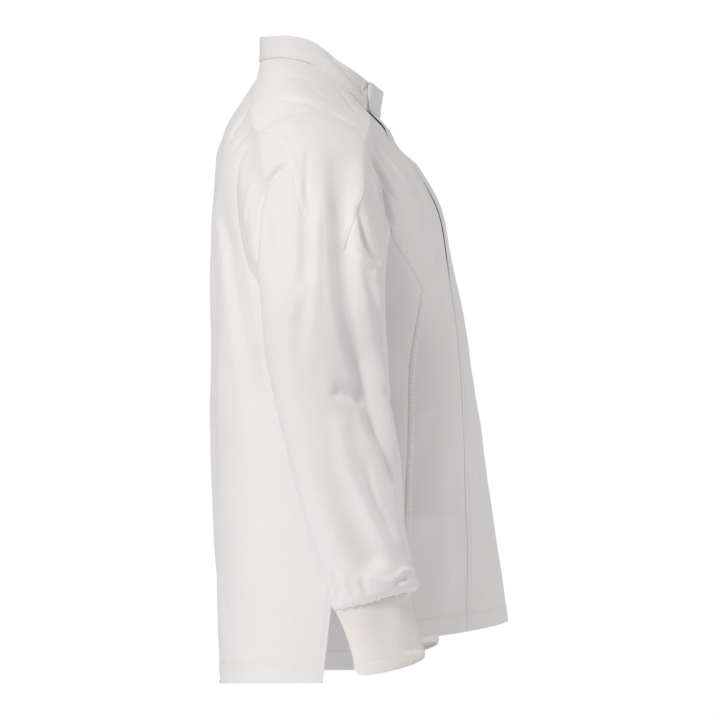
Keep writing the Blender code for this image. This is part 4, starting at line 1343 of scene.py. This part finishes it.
class Piece:
    """One piece of cloth: its middle surface in place, and the shell made around it."""

    def __init__(self, cloth, name):
        self.name = name
        self.own = own = cloth.own[name]
        place = np.zeros(len(cloth.points), int)
        place[own] = np.arange(len(own))
        self.faces = place[cloth.faces[name]]
        self.lengths = cloth.lengths[name][own]
        self.up = cloth.normals[own]
        self.points = cloth.points[own].copy()
        self.rims = {label: place[edges] for label, edges in cloth.rims(name).items()}
        free = joined([self.rims.get("free", []), self.rims.get(OVER.get(name), [])])
        hem = is_hem(self.points, free) if kind(name) != "cuff" else np.zeros(len(free), bool)
        self.free, self.hem, self.edge = free, free[hem], free[~hem]
        self.thick = np.full(len(own), RIB if kind(name) == "cuff" else CLOTH)
        self.shape()

    def far(self, edges, limit):
        """How far each point is from some of the piece's rim edges."""
        if not len(edges):
            return np.full(len(self.points), limit)
        return distance_to(self.points, edges, self.points, limit)

    def shape(self):
        """Adds the seams, hems and small forms of this piece."""
        rise = np.zeros(len(self.points))
        self.seam_far = np.full(len(self.points), NO_SEAM)
        drop = np.zeros(len(self.points))
        for label, edges in self.rims.items():
            if not is_sewn(self.name, label):
                continue
            is_top = SEAM_RANK[kind(self.name)] > SEAM_RANK[kind(label)]
            is_middle = kind(self.name) == kind(label)
            reach = 0.030 if kind(label) == "cuff" else 0.010
            far = self.far(edges, reach)
            self.seam_far = np.minimum(self.seam_far, far)
            if kind(label) == "cuff":
                drop, pucker = sleeve_drop(self.points, far)
                rise += pucker
            elif is_middle:
                rise -= 0.5 * MM * (1 - smoothstep(0, 2.5 * MM, far))
            elif kind(self.name) != "cuff":
                rise += seam_profile(far, is_top)
        depth = HEM_DEPTH.get("back" if self.name == "back" else "front")
        far = self.far(self.hem, depth + 0.004)
        is_woven = kind(self.name) not in ("cuff", "collar")
        if is_woven and len(self.hem):
            inside = 1 - smoothstep(depth - 0.6 * MM, depth + 0.6 * MM, far)
            stitch = np.exp(-(((far - depth + 1.5 * MM) / (0.7 * MM)) ** 2))
            rise += 0.35 * MM * inside - 0.30 * MM * stitch
            self.thick += HEM_MORE * inside
        far = self.far(self.edge, 0.012)
        self.seam_far = np.minimum(self.seam_far, far)
        if is_woven and len(self.edge):
            turned = 1 - smoothstep(8.5 * MM, 9.5 * MM, far)
            rise += 0.12 * MM * turned
            if kind(self.name) != "front":
                self.thick += EDGE_MORE * turned * (self.thick < 1.5 * MM)
        if self.name == "front_left":
            beside = self.points[:, 0] - edge_x(self.points[:, 2])
            self.thick -= 0.5 * MM * (1 - smoothstep(1 * MM, 9 * MM, beside))
        if kind(self.name) == "cuff":
            around_cuff = self.lengths[:, 0] / self.lengths[:, 0].max()
            rise += 0.18 * MM * np.cos(around_cuff * RIBS * 2 * np.pi)
            rise -= 1.6 * MM * (1 - smoothstep(0, 4.5 * MM, self.far(self.free, 0.006)))
        if self.name == "collar":
            self.thick += COLLAR_MORE
        self.points += self.up * rise[:, None]
        self.points[:, 2] -= drop

    def mesh(self):
        """The closed shell: outer and inner sides, and rims that are round where they are free."""
        half = self.thick[:, None] / 2
        count = len(self.points)
        outer = self.points + self.up * half
        inner = self.points - self.up * half
        inner_faces = self.faces[:, ::-1] + count
        points, faces = [outer, inner], [self.faces, inner_faces]
        sewn = joined([edges for label, edges in self.rims.items() if is_sewn(self.name, label)])
        if len(sewn):
            a, b = sewn.T
            faces.append(np.stack([b, a, a + count, b + count], axis=1))
        if len(self.free):
            way = self.points[self.free[:, 1]] - self.points[self.free[:, 0]]
            out = np.zeros_like(self.points)
            for k in range(2):
                np.add.at(out, self.free[:, k], np.cross(way, self.up[self.free[:, k]]))
            out = unit(out)
            ends = np.unique(self.free)
            place = np.zeros(count, int)
            place[ends] = np.arange(len(ends))
            rings = [np.arange(count)]
            start = 2 * count
            for height in (0.5, -0.5):
                points.append(self.points[ends] + (out * half * 0.75 + self.up * half * height)[ends])
                rings.append(place + start)
                start += len(ends)
            rings.append(np.arange(count) + count)
            for upper, lower in zip(rings, rings[1:]):
                a, b = self.free.T
                faces.append(np.stack([upper[b], upper[a], lower[a], lower[b]], axis=1))
        return np.concatenate(points), np.concatenate(faces)


def without_repeats(face):
    """A face's corners in order, each once."""
    return [corner for k, corner in enumerate(face) if corner != face[k - 1]]


def added(name, data):
    """A new object in the scene."""
    obj = bpy.data.objects.new(name, data)
    bpy.context.scene.collection.objects.link(obj)
    return obj


def make_object(name, points, faces, lengths=None, values=None):
    """A smooth mesh object, with cloth lengths as its UVs and the given point attributes."""
    faces = [without_repeats(face) for face in faces.tolist()]
    mesh = bpy.data.meshes.new(name)
    mesh.from_pydata(points.tolist(), [], [face for face in faces if len(face) > 2])
    mesh.polygons.foreach_set("use_smooth", [True] * len(mesh.polygons))
    if lengths is not None:
        corners = np.empty(len(mesh.loops), int)
        mesh.loops.foreach_get("vertex_index", corners)
        uv = mesh.uv_layers.new(name="cloth")
        uv.data.foreach_set("uv", lengths[corners].reshape(-1))
    for key, numbers in (values or {}).items():
        layer = mesh.attributes.new(key, "FLOAT", "POINT")
        layer.data.foreach_set("value", np.asarray(numbers, np.float32))
    return added(name, mesh)


# ---------------------------------------------------------------- materials


class Nodes:
    """A short way to build one material's nodes."""

    def __init__(self, name):
        self.material = bpy.data.materials.new(name)
        self.material.use_nodes = True
        self.tree = self.material.node_tree
        self.shader = self.tree.nodes["Principled BSDF"]

    def link(self, value, socket):
        if isinstance(value, (int, float, tuple)):
            socket.default_value = value
        else:
            self.tree.links.new(value, socket)

    def math(self, operation, *values):
        node = self.tree.nodes.new("ShaderNodeMath")
        node.operation = operation
        for value, socket in zip(values, node.inputs):
            self.link(value, socket)
        return node.outputs[0]

    def wave(self, value, length):
        """A wave along a length, from -1 to 1."""
        return self.math("SINE", self.math("MULTIPLY", value, 2 * np.pi / length))

    def noise(self, vector, scale, detail=3.0):
        node = self.tree.nodes.new("ShaderNodeTexNoise")
        self.link(vector, node.inputs["Vector"])
        node.inputs["Scale"].default_value = scale
        node.inputs["Detail"].default_value = detail
        return node.outputs["Fac"]

    def step(self, low, high, value):
        """From 0 at low to 1 at high, softly."""
        node = self.tree.nodes.new("ShaderNodeMapRange")
        node.interpolation_type = "SMOOTHSTEP"
        self.link(value, node.inputs["Value"])
        node.inputs["From Min"].default_value = low
        node.inputs["From Max"].default_value = high
        return node.outputs[0]

    def mix(self, share, first, second):
        node = self.tree.nodes.new("ShaderNodeMix")
        node.data_type = "RGBA"
        self.link(share, node.inputs["Factor"])
        for value, socket in ((first, node.inputs[6]), (second, node.inputs[7])):
            self.link((*value, 1.0) if isinstance(value, tuple) else value, socket)
        return node.outputs[2]

    def place(self):
        """The object coordinates, whole and as x, y and z."""
        whole = self.tree.nodes.new("ShaderNodeTexCoord").outputs["Object"]
        parts = self.tree.nodes.new("ShaderNodeSeparateXYZ")
        self.link(whole, parts.inputs[0])
        return whole, parts.outputs

    def along(self):
        """How far along the cloth, in metres across and up the piece."""
        parts = self.tree.nodes.new("ShaderNodeSeparateXYZ")
        uv = self.tree.nodes.new("ShaderNodeUVMap")
        uv.uv_map = "cloth"
        self.link(uv.outputs[0], parts.inputs[0])
        return parts.outputs

    def seam(self):
        """How far the nearest seam or edge is, in metres, up to 0.01."""
        node = self.tree.nodes.new("ShaderNodeAttribute")
        node.attribute_name = "seam"
        return node.outputs["Fac"]

    def bump(self, height, distance, strength):
        node = self.tree.nodes.new("ShaderNodeBump")
        node.inputs["Strength"].default_value = strength
        node.inputs["Distance"].default_value = distance
        self.link(height, node.inputs["Height"])
        self.link(node.outputs[0], self.shader.inputs["Normal"])

    def finish(self, roughness, sheen, depth):
        inputs = self.shader.inputs
        self.link(roughness, inputs["Roughness"])
        inputs["Specular IOR Level"].default_value = 0.22
        inputs["Sheen Weight"].default_value = sheen
        inputs["Sheen Roughness"].default_value = 0.45
        inputs["Subsurface Weight"].default_value = depth
        inputs["Subsurface Radius"].default_value = (1.0, 1.0, 1.0)
        inputs["Subsurface Scale"].default_value = 0.001
        return self.material


def dimmed(colour, share):
    return tuple(share * part for part in colour)


def twill(name, colour, painted_shade_mask=None):
    """White twill: fine diagonal ribs, slightly uneven in colour, a little lighter near its seams and
    edges, and darkened by painted shade where a mask is given.
    """
    nodes = Nodes(name)
    whole, (x, y, z) = nodes.place()
    across, up, _ = nodes.along()
    rib = nodes.wave(nodes.math("ADD", across, up), 0.0009)
    yarn = nodes.wave(across, 0.0016)
    weave = nodes.math("ADD", nodes.math("MULTIPLY", rib, 0.5), nodes.math("MULTIPLY", yarn, 0.12))
    slub = nodes.noise(whole, 420.0)
    height = nodes.math("ADD", weave, nodes.math("MULTIPLY", slub, 0.8))
    nodes.bump(height, 0.00006, 0.35)
    near_seam_colour = tuple(min(1.05 * part, 0.95) for part in colour)
    broad = nodes.step(0.35, 0.65, nodes.noise(whole, 7.0))
    base = nodes.mix(broad, dimmed(colour, 0.975), colour)
    fine = nodes.step(0.3, 0.7, nodes.noise(whole, 160.0))
    base = nodes.mix(nodes.math("MULTIPLY", fine, 0.25), base, dimmed(colour, 0.96))
    # the colour is lighter within about 2 mm of a seam or edge
    near_seam = nodes.math("SUBTRACT", 1.0, nodes.step(0.0004, 0.0020, nodes.seam()))
    base = nodes.mix(nodes.math("MULTIPLY", near_seam, 0.35), base, near_seam_colour)
    # painted shade: where a mask is given, the colour darkens towards 90 % of the white
    if painted_shade_mask:
        base = nodes.mix(painted_shade_mask(nodes, y, z), base, dimmed(colour, 0.90))
    nodes.link(base, nodes.shader.inputs["Base Color"])
    roughness = nodes.math("ADD", nodes.math("MULTIPLY", slub, 0.12), 0.76)
    return nodes.finish(roughness, 0.12, 0.10)


def pocket_shade(nodes, y, z):
    """Painted shade: a soft darker area ahead of the princess seam, where a pocket's bag behind the
    cloth would keep light from showing through.
    """
    low = nodes.step(-0.5325, -0.5285, z)
    high = nodes.math("SUBTRACT", 1.0, nodes.step(-0.34, -0.26, z))
    ahead = nodes.math("MULTIPLY", nodes.step(-0.186, -0.150, y), 0.8)
    return nodes.math("MULTIPLY", nodes.math("MULTIPLY", low, high), ahead)


def rib_knit(name, colour):
    """The cuffs' knit: small loops up each rib, softer and warmer than the twill."""
    nodes = Nodes(name)
    whole, _ = nodes.place()
    across, up, _ = nodes.along()
    loops = nodes.wave(up, 0.0014)
    lean = nodes.wave(across, 0.0012)
    fuzz = nodes.noise(whole, 700.0)
    height = nodes.math("ADD", nodes.math("MULTIPLY", loops, lean), nodes.math("MULTIPLY", fuzz, 0.8))
    nodes.bump(height, 0.00008, 0.35)
    broad = nodes.step(0.35, 0.65, nodes.noise(whole, 22.0))
    base = nodes.mix(broad, dimmed(colour, 0.97), colour)
    nodes.link(base, nodes.shader.inputs["Base Color"])
    return nodes.finish(0.88, 0.2, 0.10)


def plain_thread():
    """The thread of the stitches, lighter than the cloth."""
    nodes = Nodes("sewing_thread")
    whole, _ = nodes.place()
    twist = nodes.noise(whole, 2500.0, 1.0)
    nodes.bump(twist, 0.00004, 0.4)
    colour = nodes.mix(twist, (0.88, 0.87, 0.86), (0.93, 0.92, 0.91))
    nodes.link(colour, nodes.shader.inputs["Base Color"])
    return nodes.finish(0.6, 0.0, 0.0)


WHITE = (0.825, 0.812, 0.808)
materials = {  # by the kind of piece, and for the rest
    "cloth": twill("twill_white", WHITE),
    # the front's twill carries the painted shade over the pockets
    "front": twill("twill_front", WHITE, pocket_shade),
    # painted shade: the collar's twill is a darker copy of the white, standing in for shade on the
    # collar
    "collar": twill("twill_collar", dimmed(WHITE, 0.94)),
    # painted light: the yoke's twill is a lighter, warmer copy of the white, standing in for the light
    # from above
    "yoke": twill("twill_yoke", (0.842, 0.822, 0.802)),
    "cuff": rib_knit("rib_white", (0.80, 0.768, 0.74)),
    "thread": plain_thread(),
}


# ---------------------------------------------------------------- stitches

STITCH = 0.0021  # length of one stitch
PITCH = 0.0029  # from one to the next
THREAD = 0.00026  # radius
THREAD_RISE = THREAD * 1.2  # how high a stitch stands, and how deep its ends go
EDGE_STITCH = 0.0022  # how far the edge stitches are from a seam
HEM_STITCH = 0.0015  # how far the hem stitches are from the hem's upper edge
TURNED_STITCH = 0.0070  # and the stitches from a turned edge
COLLAR_STITCH = 0.0030
# The cross stitches beside the princess seam are a ladder of wide, flat cords.
LADDER = 0.0068  # length of one
LADDER_PITCH = 0.0048
LADDER_THREAD = 0.00070
LADDER_INSET = 0.0043
LADDER_HEIGHTS = (-0.531, -0.193)  # from the pocket's lower end up to the armhole


def chains(edges):
    """Rim edges joined into lines of points."""
    after = dict(edges.tolist())
    starts = set(after) - set(after.values())
    lines = []
    while after:
        here = starts.pop() if starts else next(iter(after))
        line = [here]
        while here in after:
            here = after.pop(here)
            line.append(here)
        lines.append(line)
    return lines


def rows_beside(piece, edges, inset):
    """Lines in the piece at this distance from its edge."""
    found = []
    for line in chains(edges):
        points, up = piece.points[line], piece.up[line]
        way = unit(np.gradient(points, axis=0))
        for _ in range(3):
            way[1:-1] = unit(way[:-2] + way[1:-1] + way[2:])
        found.append(points + np.cross(up, way) * inset)
    return found


def stitch_places(line, pitch, skip=0.004):
    """Even places along a line, and its direction at each."""
    run = np.concatenate([[0], np.linalg.norm(np.diff(line, axis=0), axis=1).cumsum()])
    at = np.arange(skip, run[-1] - skip, pitch)
    here = np.stack([np.interp(at, run, line[:, k]) for k in range(3)], axis=1)
    ahead = np.stack([np.interp(at + pitch / 2, run, line[:, k]) for k in range(3)], axis=1)
    return here, unit(ahead - here)


def one_stitch(place, way, up, length, thread):
    """The points and faces of a stitch lying along way: its ends dip into the cloth."""
    side = np.cross(up, way)
    turns = np.radians((0, 72, 144, 216, 288))
    points = [place - way * length / 2 - up * THREAD_RISE]
    for along in (-0.36, 0.36):
        for turn in turns:
            out = side * np.cos(turn) * thread + up * (np.sin(turn) + 0.35) * THREAD_RISE
            points.append(place + way * length * along + out)
    points.append(place + way * length / 2 - up * THREAD_RISE)
    faces = []
    for k in range(5):
        after = (k + 1) % 5
        faces.append([0, 1 + k, 1 + after])
        faces.append([1 + k, 6 + k, 6 + after, 1 + after])
        faces.append([11, 6 + after, 6 + k])
    return points, faces


def stitched(name, piece, rows, ticks=()):
    """One object of all the stitches on a piece: rows along lines, and ticks across them."""
    count = len(piece.points)
    outer = piece.points + piece.up * piece.thick[:, None] / 2
    quads = [without_repeats(face) for face in piece.faces.tolist()]
    surface = BVHTree.FromPolygons(outer.tolist(), [face for face in quads if len(face) > 2])
    points, faces = [], []
    for lines, across, length, pitch, thread in [(rows, False, STITCH, PITCH, THREAD), *ticks]:
        for line in lines:
            for place, way in zip(*stitch_places(line, pitch)):
                spot, up, index, _ = surface.find_nearest(place)
                if index is None:
                    continue
                up = np.array(up)
                if index < len(piece.faces):
                    up = up * np.sign(up @ piece.up[piece.faces[index][0]] + 1e-9)
                way = way - up * (way @ up)
                way = way / np.linalg.norm(way)
                if across:
                    way = np.cross(up, way)
                own_points, own_faces = one_stitch(np.array(spot), way, up, length, thread)
                faces += [[corner + len(points) for corner in face] for face in own_faces]
                points += own_points
    if not points:
        return None
    obj = make_object("thread_" + name, np.array(points), np.array(faces, dtype=object))
    obj.data.materials.append(materials["thread"])
    return obj


def between_heights(lines, low, high):
    """The parts of the lines that lie between two heights."""
    found = []
    for line in lines:
        inside = (line[:, 2] > low) & (line[:, 2] < high)
        if inside.sum() > 3:
            found.append(line[inside])
    return found


def threads_on(name, piece):
    """The rows of stitches that a piece carries on its upper side."""
    rows, ticks = [], []
    for label, edges in piece.rims.items():
        if not is_sewn(name, label) or "cuff" in (kind(label), kind(name)):
            continue
        if SEAM_RANK[kind(name)] > SEAM_RANK[kind(label)]:
            rows += rows_beside(piece, edges, EDGE_STITCH)
            if kind(name) == "front" and kind(label) == "side_panel":
                ladder = between_heights(rows_beside(piece, edges, LADDER_INSET), *LADDER_HEIGHTS)
                ticks.append((ladder, True, LADDER, LADDER_PITCH, LADDER_THREAD))
    if kind(name) in ("back", "front", "side_panel"):
        depth = HEM_DEPTH.get("back" if name == "back" else "front")
        if name != "front_right":
            rows += rows_beside(piece, piece.hem, depth - HEM_STITCH)
        rows += rows_beside(piece, piece.edge, TURNED_STITCH)
    if name == "collar":
        rows += rows_beside(piece, piece.edge, COLLAR_STITCH)
    return stitched(name, piece, rows, ticks)


# ---------------------------------------------------------------- making it all

surfaces = make_surfaces()
cloth = Cloth(surfaces)
rise = all_folds(cloth) + undulation(cloth.points)
cloth.points += cloth.normals * rise[:, None]
cloth.normals = cloth.shared_normals()
pieces = {name: Piece(cloth, name) for name in cloth.faces}
shown, threads = {}, {}
for name, piece in pieces.items():
    points, faces = piece.mesh()
    rim = [np.unique(piece.free)] * 2 if len(piece.free) else []
    source = np.concatenate([np.arange(len(piece.points))] * 2 + rim)
    values = {"seam": piece.seam_far[source]}
    obj = make_object("cloth_" + name, points, faces, piece.lengths[source], values)
    obj.data.materials.append(materials.get(kind(name), materials["cloth"]))
    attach(obj, "root")
    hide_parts(name)
    shown[name] = obj
    threads[name] = threads_on(name, piece)
    if threads[name]:
        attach(threads[name], "root")


# ---------------------------------------------------------------- camera, floor and lights


def look(obj, place, target):
    """Puts an object at a place, facing a target."""
    obj.location = place
    obj.rotation_euler = (Vector(target) - Vector(place)).to_track_quat("-Z", "Y").to_euler()


def area_light(name, place, target, size, watts, colour):
    data = bpy.data.lights.new(name, "AREA")
    data.shape = "DISK"
    data.size = size
    data.energy = watts
    data.color = colour
    look(added(name, data), place, target)


CENTRE = (0.0, -0.059, -0.349)  # of the tunic
CAMERA_AWAY = (-9.9905, -0.436, 0.0)  # from its centre, towards the wearer's right
FOCAL_LENGTH = 423.7  # millimetres
FLOOR_HALF = 2.5
FLOOR_HEIGHT = -1.5
FLOOR_COLOUR = (0.85, 0.85, 0.86, 1)
FILL = 0.44  # strength of the even light from all round
LIGHTS = [
    # name, place, target, size, watts, colour
    ("key", (-3.9, 2.5, 2.8), CENTRE, 2.0, 173, (1.0, 0.985, 0.975)),
    ("front", (0.4, -4.4, 0.3), CENTRE, 3.0, 49, (1.0, 0.99, 0.975)),
    ("below", (-0.2, 0.12, -1.4), (0.0, -0.02, -0.62), 0.7, 2.3, (0.97, 0.985, 1.0)),
]

lens = bpy.data.cameras.new("camera")
lens.lens = FOCAL_LENGTH
lens.sensor_width = 36.0
lens.clip_end = 50.0
camera = added("camera", lens)
look(camera, tuple(np.add(CENTRE, CAMERA_AWAY)), CENTRE)
bpy.context.scene.camera = camera
bpy.context.scene.view_settings.view_transform = "Standard"

floor_mesh = bpy.data.meshes.new("floor")
corners = [(-1, -1), (1, -1), (1, 1), (-1, 1)]
corners = [(x * FLOOR_HALF, y * FLOOR_HALF, FLOOR_HEIGHT) for x, y in corners]
floor_mesh.from_pydata(corners, [], [(0, 1, 2, 3)])
floor = added("floor", floor_mesh)
floor_material = bpy.data.materials.new("floor")
floor_material.use_nodes = True
floor_inputs = floor_material.node_tree.nodes["Principled BSDF"].inputs
floor_inputs["Base Color"].default_value = FLOOR_COLOUR
floor_inputs["Roughness"].default_value = 0.8
floor.data.materials.append(floor_material)

for light in LIGHTS:
    area_light(*light)

world = bpy.data.worlds.new("studio")
world.use_nodes = True
bpy.context.scene.world = world
tree = world.node_tree
tree.nodes.clear()
output = tree.nodes.new("ShaderNodeOutputWorld")
mix = tree.nodes.new("ShaderNodeMixShader")
path = tree.nodes.new("ShaderNodeLightPath")
white = tree.nodes.new("ShaderNodeBackground")
fill = tree.nodes.new("ShaderNodeBackground")
fill.inputs["Color"].default_value = (0.99, 0.99, 0.99, 1)
fill.inputs["Strength"].default_value = FILL
white.inputs["Color"].default_value = (1, 1, 1, 1)
tree.links.new(path.outputs["Is Camera Ray"], mix.inputs["Fac"])
tree.links.new(fill.outputs[0], mix.inputs[1])
tree.links.new(white.outputs[0], mix.inputs[2])
tree.links.new(mix.outputs[0], output.inputs[0])
